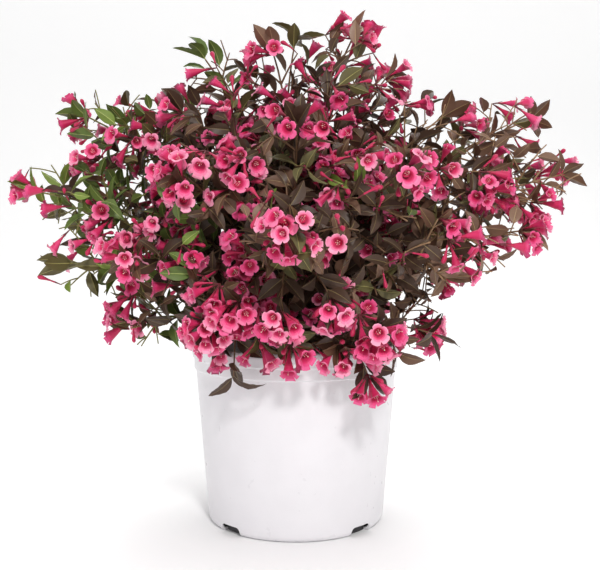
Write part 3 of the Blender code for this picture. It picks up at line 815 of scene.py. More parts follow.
def heart_template():
    """Stamens, style and throat inside the tube, and the calyx at its foot."""
    parts = []
    for index in range(LOBES):
        turn = ROUND * (index + 0.5) / LOBES
        side = Vector((0.0, cos(turn), sin(turn)))
        parts += stalk_parts(*(Vector((station * FLOWER_LENGTH, 0.0, 0.0)) + side * radius
                               for station, radius in STAMEN), *STAMEN_RADII)
    parts += stalk_parts(*(Vector((station * FLOWER_LENGTH, aside, 0.0))
                           for station, aside in STYLE), *STYLE_RADII)
    throat = [(THROAT[0] * FLOWER_LENGTH, 0.0, 0.0)]
    throat += [(THROAT[1] * FLOWER_LENGTH, THROAT_RADIUS * cos(turn),
                THROAT_RADIUS * sin(turn)) for turn in turns_round(THROAT_SIDES)]
    parts.append((throat, [(0, 1 + index, 1 + (index + 1) % THROAT_SIDES)
                           for index in range(THROAT_SIDES)], 3))
    parts.append((*tube([Vector((place, 0, 0)) for place, _ in OVARY],
                        [radius for _, radius in OVARY], 5), 1))
    for turn in turns_round(SEPALS):
        side = Vector((0.0, cos(turn), sin(turn)))
        other = Vector((0.0, -sin(turn), cos(turn))) * SEPAL_FOOT[1]
        root = side * SEPAL_FOOT[0]
        tip = Vector((SEPAL_TIP[0], 0, 0)) + side * SEPAL_TIP[1]
        parts.append(((root - other, root + other, tip), [(0, 1, 2)], 1))
    points = []
    faces = []
    slots = []
    for skin, sides, slot in parts:
        faces += [tuple(len(points) + index for index in face) for face in sides]
        points += [tuple(point) for point in skin]
        slots += [slot] * len(sides)
    return Template([points], faces, slots)


def bud_template():
    """Slender closed bud along +X, thickest near its tip, with its stalk before it."""
    variants = []
    for bend in BUD_BENDS:
        points = [(station * BUD_LENGTH, radius * cos(turn),
                   radius * sin(turn) - bend * station**2 * BUD_LENGTH)
                  for station, radius in BUD_PROFILE for turn in turns_round(BUD_SIDES)]
        variants.append([*points, (BUD_TIP * BUD_LENGTH, 0.0, -bend * BUD_LENGTH)])
    faces = grid_faces(len(BUD_PROFILE), BUD_SIDES)
    tip = len(BUD_PROFILE) * BUD_SIDES
    last = tip - BUD_SIDES
    for side in range(BUD_SIDES):
        faces.append((last + side, last + (side + 1) % BUD_SIDES, tip))
    slots = [int(index < 2 * BUD_SIDES) for index in range(len(faces))]
    return Template(variants, faces, slots)


# Growth

def placed_at(root, direction, face, scale):
    """Frame at a root: X along the direction, Z turned as far as it goes to a face."""
    x = direction.normalized()
    y = face.cross(x)
    if y.length < PARALLEL:
        y = Vector((0.0, 0.0, 1.0)).cross(x)
    y.normalize()
    frame = Matrix((x, y, x.cross(y))).transposed().to_4x4() @ Matrix.Scale(scale, 4)
    frame.translation = root
    return frame


def beside(along, turn):
    """Unit vector square to a direction, at a turn about it."""
    first = along.cross(Vector((0.0, 0.0, 1.0)))
    if first.length < NEARLY_UPRIGHT:
        first = along.cross(Vector((1.0, 0.0, 0.0)))
    first.normalize()
    return (first * cos(turn) + along.cross(first) * sin(turn)).normalized()


def both_sides(along, turn):
    return beside(along, turn), beside(along, turn + pi)


def leaning(along, side, swing, tilt):
    """Direction tilted from a run to a side, once the side has swung about the run."""
    lean = Matrix.Rotation(swing, 3, along) @ side
    return (along * cos(tilt) + lean * sin(tilt)).normalized()


def bowed(root, bow, tip, steps):
    """Chain of points from a root to a tip, drawn towards a bow between them."""
    return [root.lerp(bow, share).lerp(bow.lerp(tip, share), share)
            for share in np.linspace(0.0, 1.0, steps + 1)]


def run_into(chain, step):
    """Direction in which a chain comes to one of its points."""
    return (chain[step] - chain[step - 1]).normalized()


def clamped(value):
    return min(1.0, max(0.0, value))


class Crowding:
    """Places already taken, in cells, so that near ones are found fast."""

    def __init__(self, size):
        self.size = size
        self.cells = {}

    def cell(self, point):
        return tuple(int(value // self.size) for value in point)

    def near(self, point, distance):
        """True if a taken place is nearer than the distance."""
        around = itertools.product(*((i - 1, i, i + 1) for i in self.cell(point)))
        return any((point - other).length < distance
                   for cell in around for other in self.cells.get(cell, ()))

    def take(self, point):
        self.cells.setdefault(self.cell(point), []).append(point)


class Growth:
    """Everything that grows on one mass, within its share of the crown."""

    def __init__(self, name, curve, share, start, bloom, openness, limbs, taken):
        self.name, self.curve, self.share, self.start = name, curve, share, start
        self.bloom, self.openness, self.limbs = bloom, openness, limbs
        self.leaves_taken, self.flowers_taken = taken
        self.spare = SIDE_SPARE
        self.dice = random.Random(f"{SEED} {name}")
        self.sites, self.twigs, self.leaves, self.flowers, self.buds = [], [], [], [], []
        span = (curve[3] - on_curve(curve, start)).length
        self.end = 1.0 - (1.0 - start) * LEADER_SPARE * LEAF_LENGTH / span

    def fits(self, points, spare):
        """True if points keep to the part's box, and to the share if there is a spare."""
        places = [tuple(point) for point in points]
        return (spare is None or self.share.holds(places, spare)) and self.share.in_box(places)

    def clear(self, points, spare):
        """True if all points are further than the spare from the pot, stem and boughs."""
        return all(self.limbs.find_nearest(point)[3] > spare for point in points)

    def room(self, middle):
        """Spacing between leaves, wider towards the tip of the mass."""
        depth = self.share.offsets[0] - float(np.dot(self.share.out, tuple(middle)))
        spacing = LEAF_SPACING * (1.0 + exp(-(depth / OPEN_DEPTH) ** 2))
        return spacing * self.openness

    def tumble(self, most):
        return Vector([self.dice.uniform(-most, most) for _ in range(3)])

    def tint(self, place):
        """Leaf tint of a spray, greener to the left and more bronze to the right."""
        right = clamped(place.x / RIGHT_REACH)
        left = clamped((-place.x - LEFT_START + max(0.0, place.z - HIGH_START)) / LEFT_REACH)
        weights = [max(0.0, middle * (1.0 - left - right) + more_left * left + more_right * right)
                   for middle, more_left, more_right in zip(MIDDLE_MIX, LEFT_MIX, RIGHT_MIX)]
        return self.dice.choices(range(len(LEAF_TINTS)), weights)[0]

    def leaf(self, root, along, side, angle, size, tint, tight=False):
        """Note where a leaf grows; it is set once all flowers have their room."""
        self.sites.append((root, along, side, angle, size, tint, tight, self.spare))

    def set_leaves(self):
        for *site, self.spare in self.sites:
            self.set_leaf(*site)

    def set_leaf(self, root, along, side, angle, size, tint, tight):
        """Set a leaf where it has room, after a few seeded turns and angles."""
        outward = (root - CROWN_MIDDLE).normalized()
        for attempt in range(TIGHT_TRIES if tight else TRIES):
            swing = self.dice.uniform(-LEAF_SWING, LEAF_SWING) * (1 + attempt)
            tilt = self.dice.uniform(-LEAF_TILT, LEAF_TILT) * (1 + attempt * TILT_GROWTH)
            direction = leaning(along, side, swing, angle + tilt)
            length = size * (1.0 - (TIP_LEAF_SHORTER if tight else LEAF_SHORTER) * attempt)
            face = outward + Vector((0.0, 0.0, LEAF_UPWARD))
            face += self.tumble(TIP_LEAF_TUMBLE if tight else LEAF_TUMBLE)
            matrix = placed_at(root, direction, face, length)
            middle = matrix @ LEAF_MIDDLE
            probes = [middle, *(matrix @ probe for probe in LEAF_PROBES)]
            if (self.fits(probes, self.spare)
                    and not self.leaves_taken.near(
                        middle, TIGHT_SPACING if tight else self.room(middle))
                    and not self.flowers_taken.near(middle, FLOWER_ROOM)
                    and not self.flowers_taken.near(middle - outward * UNDER_LEAF, FLOWER_ROOM)
                    and self.clear(probes, LEAF_CLEARANCE)):
                self.leaves_taken.take(middle)
                self.leaves.append((matrix, self.dice.randrange(len(LEAF_FORMS)), 2 * tint))
                return

    def cluster(self, place, along, many):
        """Flowers and buds at the end of a short spray, opening outwards."""
        count = self.dice.choice(MANY_FLOWERS if many else FEW_FLOWERS)
        outward = (place - CROWN_MIDDLE).normalized()
        axis = (along * CLUSTER_ALONG + outward * CLUSTER_OUTWARD + CLUSTER_SAG).normalized()
        turn = self.dice.uniform(0.0, ROUND)
        for index in range(count + self.dice.choice(CLUSTER_BUDS)):
            tilt = INNER_TILT + TILT_SPREAD * sqrt((index + 0.5) / (count + 2))
            side = beside(axis, turn + index * CLUSTER_TURN)
            direction = axis * cos(tilt) + side * sin(tilt)
            direction.z -= FLOWER_DROOP
            direction.normalize()
            root = place + direction * CLUSTER_STALK
            is_bud = index >= count
            reach = BUD_LENGTH if is_bud else FLOWER_LENGTH
            size = self.dice.uniform(*FLOWER_SIZES)
            end = root + direction * reach * size
            middle = root + direction * reach * FLOWER_MIDDLE * size
            if not (self.fits([end], self.spare) and self.clear([end, middle], FLOWER_CLEARANCE)):
                continue
            if not is_bud and self.flowers_taken.near(middle, FLOWER_SPACING):
                continue
            matrix = placed_at(root, direction, self.tumble(FLOWER_TUMBLE) + FLOWER_FACE, size)
            if is_bud:
                self.buds.append((matrix, self.dice.randrange(len(BUD_BENDS)), 0))
            else:
                self.flowers_taken.take(middle)
                age = self.dice.choices(range(len(AGES)), AGES)[0]
                form = self.dice.randrange(len(FLOWER_FORMS))
                self.flowers.append((matrix, form, LOBES * age))

    def twig(self, root, along, side, angle, longest, fine=False):
        """A twig that sags a little, with pairs of leaves, fine twigs and flowers."""
        for attempt in range(TRIES):
            swing = self.dice.uniform(-TWIG_SWING, TWIG_SWING) * (1 + attempt)
            direction = leaning(along, side, swing, angle)
            reach = longest * (1.0 - TWIG_SHORTER * attempt)
            rise = Vector((0.0, 0.0, TWIG_SAG * reach * BOW_RISE))
            fall = Vector((0.0, 0.0, TWIG_SAG * reach * TIP_FALL))
            bow = root + (direction * reach * TWIG_BOW + rise)
            chain = bowed(root, bow, root + direction * reach - fall, TWIG_STEPS)
            outer = chain[2:]
            if self.fits(outer, self.spare * TWIG_SPARE) and self.clear(outer, TWIG_CLEARANCE):
                break
        else:
            return
        self.twigs.append((chain, FINE_TWIG_RADIUS if fine else TWIG_RADIUS, TWIG_END_RADIUS))
        tint = self.tint(chain[-1])
        first = self.dice.uniform(0.0, pi)
        pairs = max(1, round(reach / PAIR_SPACING))
        for pair in range(pairs):
            share = (pair + FIRST_PAIR) / (pairs + PAST_PAIRS)
            index = min(int(share * TWIG_STEPS), TWIG_STEPS - 1)
            place = chain[index].lerp(chain[index + 1], share * TWIG_STEPS - index)
            run = run_into(chain, index + 1)
            size = LEAF_LENGTH * self.dice.uniform(*PAIR_LEAF_SIZES)
            size *= 1.0 - PAIR_LEAF_TAPER * share
            for aside in both_sides(run, first + pair * SQUARE):
                self.leaf(place, run, aside, LEAF_ANGLE, size, tint)
                if not fine and self.dice.random() < FINE_TWIG_SHARE:
                    self.twig(place, run, aside, FINE_TWIG_ANGLE, FINE_TWIG_REACH, True)
        run = run_into(chain, -1)
        if self.dice.random() < self.bloom * (FINE_TWIG_BLOOM if fine else TWIG_BLOOM):
            self.cluster(chain[-1], run, not fine)
        for aside in both_sides(run, first + pairs * SQUARE):
            size = LEAF_LENGTH * self.dice.uniform(*TWIG_TIP_LEAF_SIZES)
            self.leaf(chain[-1], run, aside, TWIG_TIP_LEAF_ANGLE, size, tint)

    def spray(self, share, tip, flowers):
        """A spray that arches over the rim or out of the mass to a tip of its own."""
        self.spare = None
        root = on_curve(self.curve, self.start + (self.end - self.start) * share)
        tip = Vector(tip)
        for lift in SPRAY_LIFTS:
            bow = root.lerp(tip, SPRAY_BOW)
            bow.z = max(root.z, tip.z) + lift
            chain = bowed(root, bow, tip, SPRAY_STEPS)
            if self.clear(chain[2:], SPRAY_CLEARANCE):
                break
        self.twigs.append((chain, TWIG_RADIUS, TWIG_END_RADIUS))
        tint = self.tint(tip)
        size = LEAF_LENGTH * SPRAY_LEAF_SIZE
        for pair, step in enumerate(SPRAY_NODES):
            run = run_into(chain, step)
            for side in both_sides(run, pair * SQUARE):
                self.leaf(chain[step], run, side, SPRAY_LEAF_ANGLE, size, tint, True)
        if flowers != "none":
            self.cluster(chain[-1], run_into(chain, -1), flowers == "many")
        self.spare = SIDE_SPARE

    def node(self, share):
        """Place, run and leaf tint at a share of the limb."""
        root = on_curve(self.curve, share)
        ahead, behind = (on_curve(self.curve, share + step) for step in (RUN_STEP, -RUN_STEP))
        return root, (ahead - behind).normalized(), self.tint(root)

    def grow_inside(self):
        """Leaves and short leafy twigs on the outer part of the bough."""
        first = self.start * INNER_START
        length = (on_curve(self.curve, self.start) - on_curve(self.curve, first)).length
        count = max(1, round(length / INNER_SPACING))
        bloom, self.bloom = self.bloom, 0.0
        self.spare = INNER_SPARE
        for index in range(count):
            share = first + (self.start - first) * (index + 0.5) / count
            root, along, tint = self.node(share)
            for side in both_sides(along, index * SQUARE):
                self.leaf(root, along, side, LEAF_ANGLE, LEAF_LENGTH, tint)
                self.twig(root, along, side, INNER_TWIG_ANGLE, INNER_TWIG_REACH, True)
        self.spare = SIDE_SPARE
        self.bloom = bloom

    def grow(self):
        """The leader that carries on from the bough, and all that grows on it."""
        points = stretch(self.curve, self.start - LEADER_OVERLAP, self.end, LEADER_STEPS)
        self.twigs.append((points, BOUGH_END_RADIUS, LEADER_END_RADIUS))
        first = self.dice.uniform(0.0, pi)
        run = sum((b - a).length for a, b in zip(points, points[1:]))
        count = max(FEWEST_NODES, round(run / NODE_SPACING))
        for index in range(count):
            node = (index + 0.5) / count
            root, along, tint = self.node(self.start + (self.end - self.start) * node)
            angle = TWIG_ROOT_ANGLE + (TWIG_TIP_ANGLE - TWIG_ROOT_ANGLE) * node
            for side in both_sides(along, first + index * SQUARE):
                if index < count - 1:
                    self.twig(root, along, side, angle, TWIG_REACH * (1.0 - TWIG_TAPER * node))
                self.leaf(root, along, side, LEAF_ANGLE, LEAF_LENGTH * LEADER_LEAF_SIZE, tint)
        along = run_into(points, -1)
        tint = self.tint(points[-1])
        if self.dice.random() < self.bloom:
            self.cluster(points[-1], along, True)
        for index in range(LEADER_TIP_LEAVES):
            side = beside(along, first + index * SQUARE)
            size = LEAF_LENGTH * self.dice.uniform(*LEADER_TIP_LEAF_SIZES)
            self.leaf(points[-1], along, side, LEADER_TIP_LEAF_ANGLE, size, tint, True)


# Stem and boughs with the bark's relief. Grooves and ridges: depth, and waves across and
# along. A groove also has the share of the bough's number by which its waves shift.
BOUGH_SIDES = 11
BOUGH_STEPS = 46
BOUGH_FOOT = 0.02
GROOVES = ((0.055, 2.4, 0.21, 1), (0.040, 4.1, -0.47, 3))
SWELLING = 0.13
SWELLING_ROWS = 9
SWELLING_BREADTH = 1.1
STEM_SIDES = 48
STEM_ROWS = 30
STEM_RIDGES = ((0.030, 9, 5), (0.018, 17, -9))
STEM_ROUNDING = 0.1
STEM_TOP = 0.02
STEM_SPARE = 0.02


def add_bough(batch, chain, phase):
    """A limb whose ring of points is grooved along its length, with swollen nodes."""
    radii = np.linspace(BOUGH_RADIUS, BOUGH_END_RADIUS, len(chain))
    skin, faces = tube(chain, radii, BOUGH_SIDES)
    centre = np.repeat(np.array([tuple(point) for point in chain]), BOUGH_SIDES, axis=0)
    column = np.tile(np.arange(BOUGH_SIDES), len(chain))
    row = np.repeat(np.arange(len(chain)), BOUGH_SIDES)
    groove = sum(depth * np.sin(column * across + row * along + phase * shift)
                 for depth, across, along, shift in GROOVES)
    off = (row % SWELLING_ROWS - SWELLING_ROWS // 2) / SWELLING_BREADTH
    grown = 1.0 + groove + SWELLING * np.exp(-off**2)
    batch.add_faces(centre + (skin - centre) * grown[:, None], faces, 0)


def add_stem(batch):
    """The short stem with its flare and rounded top, ridged between the boughs."""
    profile_r, profile_z = zip(*STEM_PROFILE)
    shoulder = 1.0 - STEM_ROUNDING
    points = []
    for share in np.linspace(0.0, 1.0, STEM_ROWS):
        z = share * STEM_HEIGHT
        radius = float(np.interp(z, profile_z, profile_r))
        if share > shoulder:
            over = (share - shoulder) / STEM_ROUNDING
            radius *= sqrt(max(0.0, 1.0 - over**2)) * (1.0 - STEM_TOP) + STEM_TOP
        for turn in turns_round(STEM_SIDES):
            ridge = sum(depth * sin(turn * across + share * along)
                        for depth, across, along in STEM_RIDGES)
            points.append(polar(radius * (1.0 + ridge - STEM_SPARE), turn, SOIL_Z + z))
    batch.add_faces(points, capped_faces(STEM_ROWS, STEM_SIDES), 0)


# Pot: profiles are radius and height
POT_SIDES = 144
NOTCH_ANGLES = (45, 135, 225, 315)
NOTCH_WIDTH = 0.032
NOTCH_HEIGHT = 0.011
NOTCH_DEPTH = 0.01
FOOT_RADIUS = 0.1118
FLAT_RADIUS = 0.104
FOOT_ARC = 0.008
ARC_STEPS = 8
WALL_ROWS = 24
SHARP_ANGLE = radians(38)
RECESS_HALF_ANGLE = 0.32
RECESS_STEPS = 13
RECESS_PROFILE = ((0.102, 0.0006), (0.103, 0.0006), (0.103, 0.0118), (0.111, 0.0118),
                  (0.111, 0.0126), (0.102, 0.0126))
POT_PROFILE = (
    (0.0, 0.0032), (0.07, 0.0032), (0.1035, 0.0034), (0.107, 0.0042), (0.1104, 0.0078),
    (0.125, 0.1928), (0.1274, 0.2), (0.1298, 0.218), (0.1302, 0.223), (0.1306, 0.2249),
    (0.1314, 0.2259), (0.1326, 0.2262), (0.1384, 0.2262), (0.1394, 0.2258), (0.1399, 0.225),
    (0.14, 0.2238), (0.14, 0.22), (0.1397, 0.2192), (0.1389, 0.2188), (0.134, 0.2188),
    (0.133, 0.2185), (0.1325, 0.2176), (0.132, 0.2096), (0.1318, 0.2085), (0.1308, 0.2077),
    (0.13, 0.2068), (0.1297, 0.206), (0.1296, 0.195), (0.1293, 0.1941), (0.1282, 0.1934),
    (0.1275, 0.1928), (0.1272, 0.1918),
)


def to_mesh(bm, mesh):
    bm.to_mesh(mesh)
    bm.free()
    return mesh


def turned_mesh(name, profile, sides):
    """Solid of revolution whose first and last points close on the axis."""
    bm = bmesh.new()
    rings = [[bm.verts.new(polar(radius, turn, height))
              for turn in (turns_round(sides) if radius else (0.0,))]
             for radius, height in profile]
    for low, high in zip(rings, rings[1:]):
        for i in range(sides):
            after = (i + 1) % sides
            corners = (low[i % len(low)], high[i % len(high)], high[after % len(high)],
                       low[after % len(low)])
            bm.faces.new(list(dict.fromkeys(corners)))
    bmesh.ops.recalc_face_normals(bm, faces=bm.faces)
    return add_object(name, to_mesh(bm, bpy.data.meshes.new(name)))


def notch_cutter(angle):
    """Drain notch with two rounded upper corners."""
    bm = bmesh.new()
    bmesh.ops.create_cube(bm, size=1.0)
    bmesh.ops.scale(bm, verts=bm.verts, vec=(2 * NOTCH_DEPTH, NOTCH_WIDTH, 2 * NOTCH_HEIGHT))
    upper = [edge for edge in bm.edges if all(vert.co.z > 0 for vert in edge.verts)
             and edge.verts[0].co.y == edge.verts[1].co.y]
    bmesh.ops.bevel(bm, geom=upper, offset=NOTCH_HEIGHT * 0.5, segments=6, profile=0.5,
                    affect="EDGES")
    turn = radians(angle)
    bmesh.ops.rotate(bm, verts=bm.verts, matrix=Matrix.Rotation(turn, 3, "Z"))
    bmesh.ops.translate(bm, verts=bm.verts, vec=polar(FOOT_RADIUS, turn, 0.0))
    return add_object("notch", to_mesh(bm, bpy.data.meshes.new("notch")))


def add_recesses(mesh):
    """Inner wall and roof behind each drain notch, as arcs of a bent strip, in a dark grey that is
    painted shade.
    """
    bm = bmesh.new()
    bm.from_mesh(mesh)
    corners = len(RECESS_PROFILE)
    for angle in NOTCH_ANGLES:
        rings = []
        for turn in np.linspace(-RECESS_HALF_ANGLE, RECESS_HALF_ANGLE, RECESS_STEPS):
            rings.append([bm.verts.new(polar(radius, radians(angle) + turn, height))
                          for radius, height in RECESS_PROFILE])
        faces = [(low[i], low[(i + 1) % corners], high[(i + 1) % corners], high[i])
                 for low, high in zip(rings, rings[1:]) for i in range(corners)]
        for face in (*faces, list(reversed(rings[0])), rings[-1]):
            bm.faces.new(face).material_index = 1
    bmesh.ops.recalc_face_normals(bm, faces=bm.faces)
    to_mesh(bm, mesh)


def make_pot():
    arc = [(FLAT_RADIUS + FOOT_ARC * cos(turn), FOOT_ARC - FOOT_ARC * sin(turn))
           for turn in np.linspace(0.0, SQUARE, ARC_STEPS)]
    wall = [[top + (foot - top) * share for top, foot in zip(POT_PROFILE[-1], arc[0])]
            for share in np.linspace(0.0, 1.0, WALL_ROWS)[1:-1]]
    pot = turned_mesh("pot_body", [*POT_PROFILE, *wall, *arc, (0.0, 0.0)], POT_SIDES)
    cutters = [notch_cutter(angle) for angle in NOTCH_ANGLES]
    for cutter in cutters:
        cut = pot.modifiers.new("Notch", "BOOLEAN")
        cut.operation = "DIFFERENCE"
        cut.solver = "EXACT"
        cut.object = cutter
    depsgraph = bpy.context.evaluated_depsgraph_get()
    mesh = bpy.data.meshes.new_from_object(pot.evaluated_get(depsgraph), depsgraph=depsgraph)
    pot.modifiers.clear()
    pot.data = mesh
    for cutter in cutters:
        bpy.data.objects.remove(cutter)
    white = Look("pot_plastic", colour(POT_WHITE), 0.32).tone((26.0, 3.0), POT_TONES)
    white.rough((70.0, 3.0), 0.27, 0.38).relief((420.0, 2.0), 0.0001, 0.5)
    # Second slot: dark grey painted shade for the recesses behind the notches
    painted_shade = Look("pot_recess", colour(RECESS_PAINTED_SHADE), 0.7).rough((90.0, 3.0), 0.62, 0.78)
    mesh.materials.clear()
    mesh.materials.append(white.material)
    mesh.materials.append(painted_shade.material)
    add_recesses(mesh)
    mesh.shade_smooth()
    mesh.set_sharp_from_angle(angle=SHARP_ANGLE)
    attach(pot, "root")
    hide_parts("pot")


# Soil, and the chips of bark on it
SOIL_RADIUS = 0.1245
SOIL_RINGS = 46
SOIL_SIDES = 120
SOIL_DROP = 0.0022
SOIL_BUMP = 0.0007
SOIL_DOME = 0.003
CHIPS = 420
CHIP_REACH = 0.118
CHIP_GAP = 0.04
CHIP_SIZES = (0.0022, 0.006)
CHIP_INNERMOST = 0.08
CHIP_DROP = 0.0024
CHIP_LIFT = 0.12
CHIP_TURN = 6.28
CHIP_TILT = 0.5
CHIP_LENGTHS = (0.35, 0.6)
CHIP_WIDTH = 0.32
CHIP_WIDTHS = (0.6, 1.2)
CHIP_THICKNESS = 0.16
CHIP_CORNERS = ((-1, -1, -1), (1, -1, -1), (1, 1, -1), (-1, 1, -1),
                (-1, -1, 1), (1, -1, 1), (1, 1, 1), (-1, 1, 1))
CHIP_FACES = [(0, 3, 2, 1), (4, 5, 6, 7), (0, 1, 5, 4), (1, 2, 6, 5), (2, 3, 7, 6), (3, 0, 4, 7)]


def make_soil():
    """Crumbly soil with a domed, bumpy top and bits of bark lying on it."""
    dice = random.Random(f"{SEED} soil")
    batch = Batch()
    low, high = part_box("soil")
    points = []
    for ring in range(SOIL_RINGS):
        share = ring / (SOIL_RINGS - 1)
        for turn in turns_round(SOIL_SIDES):
            x, y, _ = polar(SOIL_RADIUS * share, turn, 0.0)
            # Bumps where waves cross
            bumpy = (sin(x * 310 + 1.0) * sin(y * 290 + 2.0)
                     + 0.7 * sin(x * 640 + y * 230) + 0.6 * sin(y * 710 - x * 330))
            z = high.z - SOIL_DROP + SOIL_BUMP * bumpy - SOIL_DOME * share**6
            points.append((x, y, z))
    batch.add_faces(points, grid_faces(SOIL_RINGS, SOIL_SIDES), 0)
    # Lower rings: share of the radius, and height
    foot = ((1.0, high.z - 0.006), (0.985, 0.193), (0.9, 0.03), (0.75, 0.014), (0.75, low.z),
            (0.05, low.z))
    points = [(SOIL_RADIUS * cos(turn) * share, SOIL_RADIUS * sin(turn) * share, z)
              for share, z in foot for turn in turns_round(SOIL_SIDES)]
    faces = [tuple(reversed(face)) for face in grid_faces(len(foot), SOIL_SIDES)]
    batch.add_faces(points, faces, 0)
    for _ in range(CHIPS):
        radius = CHIP_REACH * sqrt(dice.uniform(CHIP_INNERMOST, 1.0))
        turn = dice.uniform(0.0, ROUND)
        size = dice.uniform(*CHIP_SIZES)
        place = Vector(polar(radius, turn, high.z - CHIP_DROP + size * CHIP_LIFT))
        if place.x**2 + place.y**2 < CHIP_GAP**2:
            continue
        spin = Matrix.Rotation(dice.uniform(0.0, CHIP_TURN), 3, "Z")
        spin = Matrix.Rotation(dice.uniform(-CHIP_TILT, CHIP_TILT), 3, "X") @ spin
        chip = []
        for x, y, z in CHIP_CORNERS:
            corner = Vector((x * size * dice.uniform(*CHIP_LENGTHS),
                             y * size * CHIP_WIDTH * dice.uniform(*CHIP_WIDTHS),
                             z * size * CHIP_THICKNESS))
            chip.append(tuple(place + spin @ corner))
        batch.add_faces(chip, CHIP_FACES, 1)
    crumbs = Look("soil", colour(SOIL_BROWN), 0.95).tone((380.0, 6.0), SOIL_TONES)
    chips = Look("bark_bits", colour(CHIP_BROWN), 0.9).tone((120.0, 3.0), CHIP_TONES)
    crumbs.relief((700.0, 5.0), 0.0012, 0.9)
    chips.relief((800.0, 3.0), 0.0005, 0.8)
    soil = batch.piece("soil_surface", [crumbs, chips])
    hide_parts("soil")


# Camera of the photograph, light and floor. Lamps: name, place, size, power and tint
CAMERA_PLACE = (0.0053, -1.1, 0.3498)
CAMERA_DROP = 0.0478
LENS = 51.62
SENSOR = 36.0
CLIP_END = 20.0
WORLD_LIGHT = 0.58
LAMPS = (("key", (0.36, -1.9, 1.6), 0.34, 28.0, (1.0, 0.99, 0.98)),
         ("fill", (-1.8, -1.1, 0.9), 1.2, 1.5, (0.9, 0.84, 1.0)),
         ("crown", (0.2, 1.2, 2.1), 1.2, 16.0, (1.0, 1.0, 1.0)))
LAMP_TARGET = Vector((0.0, 0.0, 0.35))
FLOOR_WHITE = (0.93, 0.93, 0.93)
FLOOR_HALF_WIDTH = 4.0
FLOOR_FRONT = -3.0
FLOOR_STEPS = 5
SWEEP_FOOT = 1.4
SWEEP_RADIUS = 1.4
SWEEP_TOP = 4.0
SWEEP_STEPS = 14
GLOW_START = 0.12
GLOW_END = 0.28
GLOW = 0.21


def make_camera():
    data = bpy.data.cameras.new("camera")
    data.lens = LENS
    data.sensor_width = SENSOR
    data.sensor_fit = "HORIZONTAL"
    data.clip_end = CLIP_END
    camera = add_object("camera", data)
    camera.location = CAMERA_PLACE
    camera.rotation_euler = (SQUARE - CAMERA_DROP, 0.0, 0.0)
    bpy.context.scene.camera = camera


def make_lights():
    world = bpy.data.worlds.new("studio")
    world.use_nodes = True
    put(world.node_tree.nodes["Background"], Color=(1.0, 1.0, 1.0, 1.0), Strength=WORLD_LIGHT)
    bpy.context.scene.world = world
    for name, place, size, power, tint in LAMPS:
        lamp = bpy.data.lights.new(name, "AREA")
        lamp.shape = "DISK"
        lamp.size = size
        lamp.energy = power
        lamp.color = tint
        thing = add_object(name, lamp)
        thing.location = place
        thing.rotation_euler = (Vector(place) - LAMP_TARGET).to_track_quat("Z", "Y").to_euler()
    bpy.context.scene.view_settings.view_transform = "Standard"
    bpy.context.scene.view_settings.look = "None"


def make_stage():
    """Pale floor that sweeps up behind the plant, and glows but for a patch at its foot."""
    profile = [(FLOOR_FRONT + (SWEEP_FOOT - FLOOR_FRONT) * share, 0.0)
               for share in np.linspace(0.0, 1.0, FLOOR_STEPS)]
    profile += [(SWEEP_FOOT + SWEEP_RADIUS * sin(turn),
                 SWEEP_RADIUS - SWEEP_RADIUS * cos(turn))
                for turn in np.linspace(0.0, SQUARE, SWEEP_STEPS)[1:]]
    profile.append((SWEEP_FOOT + SWEEP_RADIUS, SWEEP_TOP))
    mesh = bpy.data.meshes.new("studio_sweep")
    mesh.from_pydata([(x, y, z) for y, z in profile for x in (-FLOOR_HALF_WIDTH, FLOOR_HALF_WIDTH)],
                     [], [(2 * i, 2 * i + 1, 2 * i + 3, 2 * i + 2)
                          for i in range(len(profile) - 1)])
    mesh.shade_smooth()
    floor = add_object("studio_sweep", mesh)
    # The floor's glow is painted light. It fades out near the pot's foot, which leaves a dimmer
    # patch there: painted shade around the foot, on top of the real shadows.
    look = Look("studio_white", FLOOR_WHITE, 0.9, Emission_Color=(1.0, 1.0, 1.0, 1.0))
    away = look.node("VectorMath")
    away.operation = "LENGTH"
    glow = look.node("MapRange", From_Min=GLOW_START, From_Max=GLOW_END, To_Min=0.0, To_Max=GLOW)
    look.links.new(look.node("TexCoord").outputs["Object"], away.inputs[0])
    look.lead(away.outputs["Value"], glow, "Value", "Result", "Emission Strength")
    mesh.materials.append(look.material)


# The plant

def region(name):
    """Part of the crown whose leaves make one piece."""
    part = {"back": "back", "crest": "top", "front": "front"}.get(name.split("_")[0])
    return part or ("left" if "left" in name else "right")


def limb_tree(nodes):
    """The pot, soil, stem and boughs of the frame, as a tree that finds the nearest."""
    points = []
    faces = []
    for name, thing in nodes.items():
        if not name.startswith("foliage"):
            first = len(points)
            points += [vertex.co.copy() for vertex in thing.data.vertices]
            faces += [[first + index for index in face.vertices] for face in thing.data.polygons]
    return BVHTree.FromPolygons(points, faces)


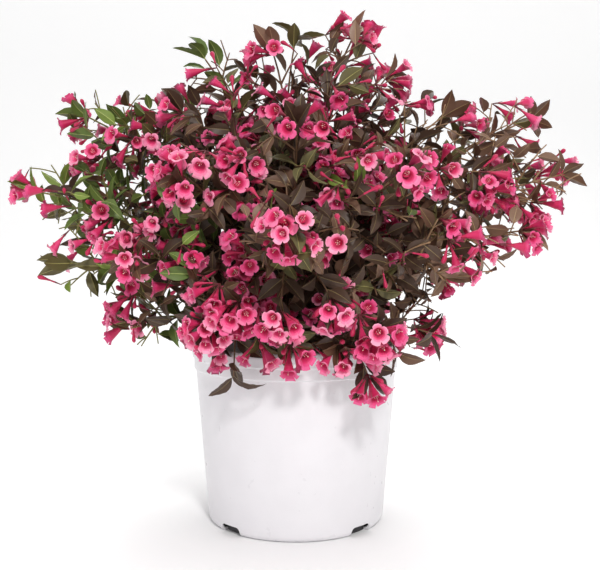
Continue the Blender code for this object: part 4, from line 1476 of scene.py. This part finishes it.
def make_plant(nodes, box):
    """Boughs and stem, then all growth: twigs and flowers first, leaves where room is left."""
    plan = crown_plan()
    turns = root_turns(plan)
    curves = {name: limb_curve(turns[name], *row[:3]) for name, row in plan.items()}
    headings = {name: (on_curve(curve, MASS_CENTRE) - CONE_POINT).normalized()
                for name, curve in curves.items()}
    limbs = limb_tree(nodes)
    widest = LEAF_SPACING * 2 * max(row[4] for row in plan.values())
    taken = Crowding(widest), Crowding(max(FLOWER_SPACING, FLOWER_ROOM))
    bark = Batch()
    add_stem(bark)
    growths = []
    for number, (name, row) in enumerate(plan.items()):
        share = Share(name, curves, headings, box)
        start = entry(curves[name], share)
        add_bough(bark, stretch(curves[name], BOUGH_FOOT, start, BOUGH_STEPS), number)
        growths.append(Growth(name, curves[name], share, start, *row[3:], limbs, taken))
    for growth in growths:
        for spray in FREE_SPRAYS.get(growth.name, ()):
            growth.spray(*spray)
        growth.grow()
    for growth in growths:
        growth.grow_inside()
    for growth in growths:
        growth.set_leaves()

    look = Look("bark_old", colour(OLD_BARK[1][1]), 0.85).tone((90.0, 5.0, 0.25), OLD_BARK)
    look.rough((90.0, 5.0, 0.25), 0.74, 0.94).relief((240.0, 4.0, 0.3), 0.0008, 0.7)
    limbs_piece = bark.piece("stem_and_boughs", [look])
    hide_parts("stem_base", *[f"bough_{name}" for name in plan])
    make_twigs(growths)
    make_leaves(growths)
    make_flowers(growths)


def make_twigs(growths):
    batch = Batch()
    for growth in growths:
        for chain, thick, thin in growth.twigs:
            slot = sum(chain[-1].x > border for border in BARK_BORDERS)
            batch.add_faces(*tube(chain, np.linspace(thick, thin, len(chain)), TWIG_SIDES), slot)
    looks = []
    for name, shown in YOUNG_BARKS.items():
        look = Look(f"twig_{name}", colour(shown), 0.62)
        looks.append(look.rough((120.0, 2.0), 0.52, 0.74).relief((500.0, 3.0), 0.0004, 0.6))
    twigs = batch.piece("twigs", looks)


def make_leaves(growths):
    template = leaf_template()
    looks = []
    for name, (blade, rib) in LEAF_TINTS.items():
        looks += leaf_look(f"leaf_{name}", blade, 0.46), leaf_look(f"rib_{name}", rib, 0.55)
    for part in ("front", "left", "right", "top", "back"):
        batch = Batch()
        own = [growth for growth in growths if region(growth.name) == part]
        for growth in own:
            batch.stamp(template, growth.leaves)
        leaves = batch.piece(f"leaves_{part}", looks)
        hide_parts(*[f"foliage_{growth.name}" for growth in own])


def make_flowers(growths):
    flower = flower_template()
    heart = heart_template()
    bud = bud_template()
    petals = [petal_look(f"petal_{age}_{band}", shown) for age, bands in PETALS.items()
              for band, shown in enumerate(bands)]
    calyx = leaf_look("calyx", CALYX_MAROON, 0.6)
    inner = [petal_look("filament", FILAMENT_PINK), calyx, petal_look("anther", ANTHER_CREAM),
             petal_look("throat", THROAT_PINK)]
    hearts = Batch()
    buds = Batch()
    for number, parts in enumerate((("front",), ("left", "back"), ("right", "top"))):
        batch = Batch()
        for growth in growths:
            if region(growth.name) in parts:
                batch.stamp(flower, growth.flowers)
        piece = batch.piece(f"flowers_{number + 1}", petals)
    for growth in growths:
        hearts.stamp(heart, [(matrix, 0, 0) for matrix, _, _ in growth.flowers])
        buds.stamp(bud, growth.buds)
    hearts.piece("stamens_and_calyxes", inner)
    buds.piece("buds", [petal_look("bud", BUD_PINK), calyx])


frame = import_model()
cad_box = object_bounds()
make_camera()
make_lights()
make_stage()
make_pot()
make_soil()
make_plant(frame["nodes"], cad_box)
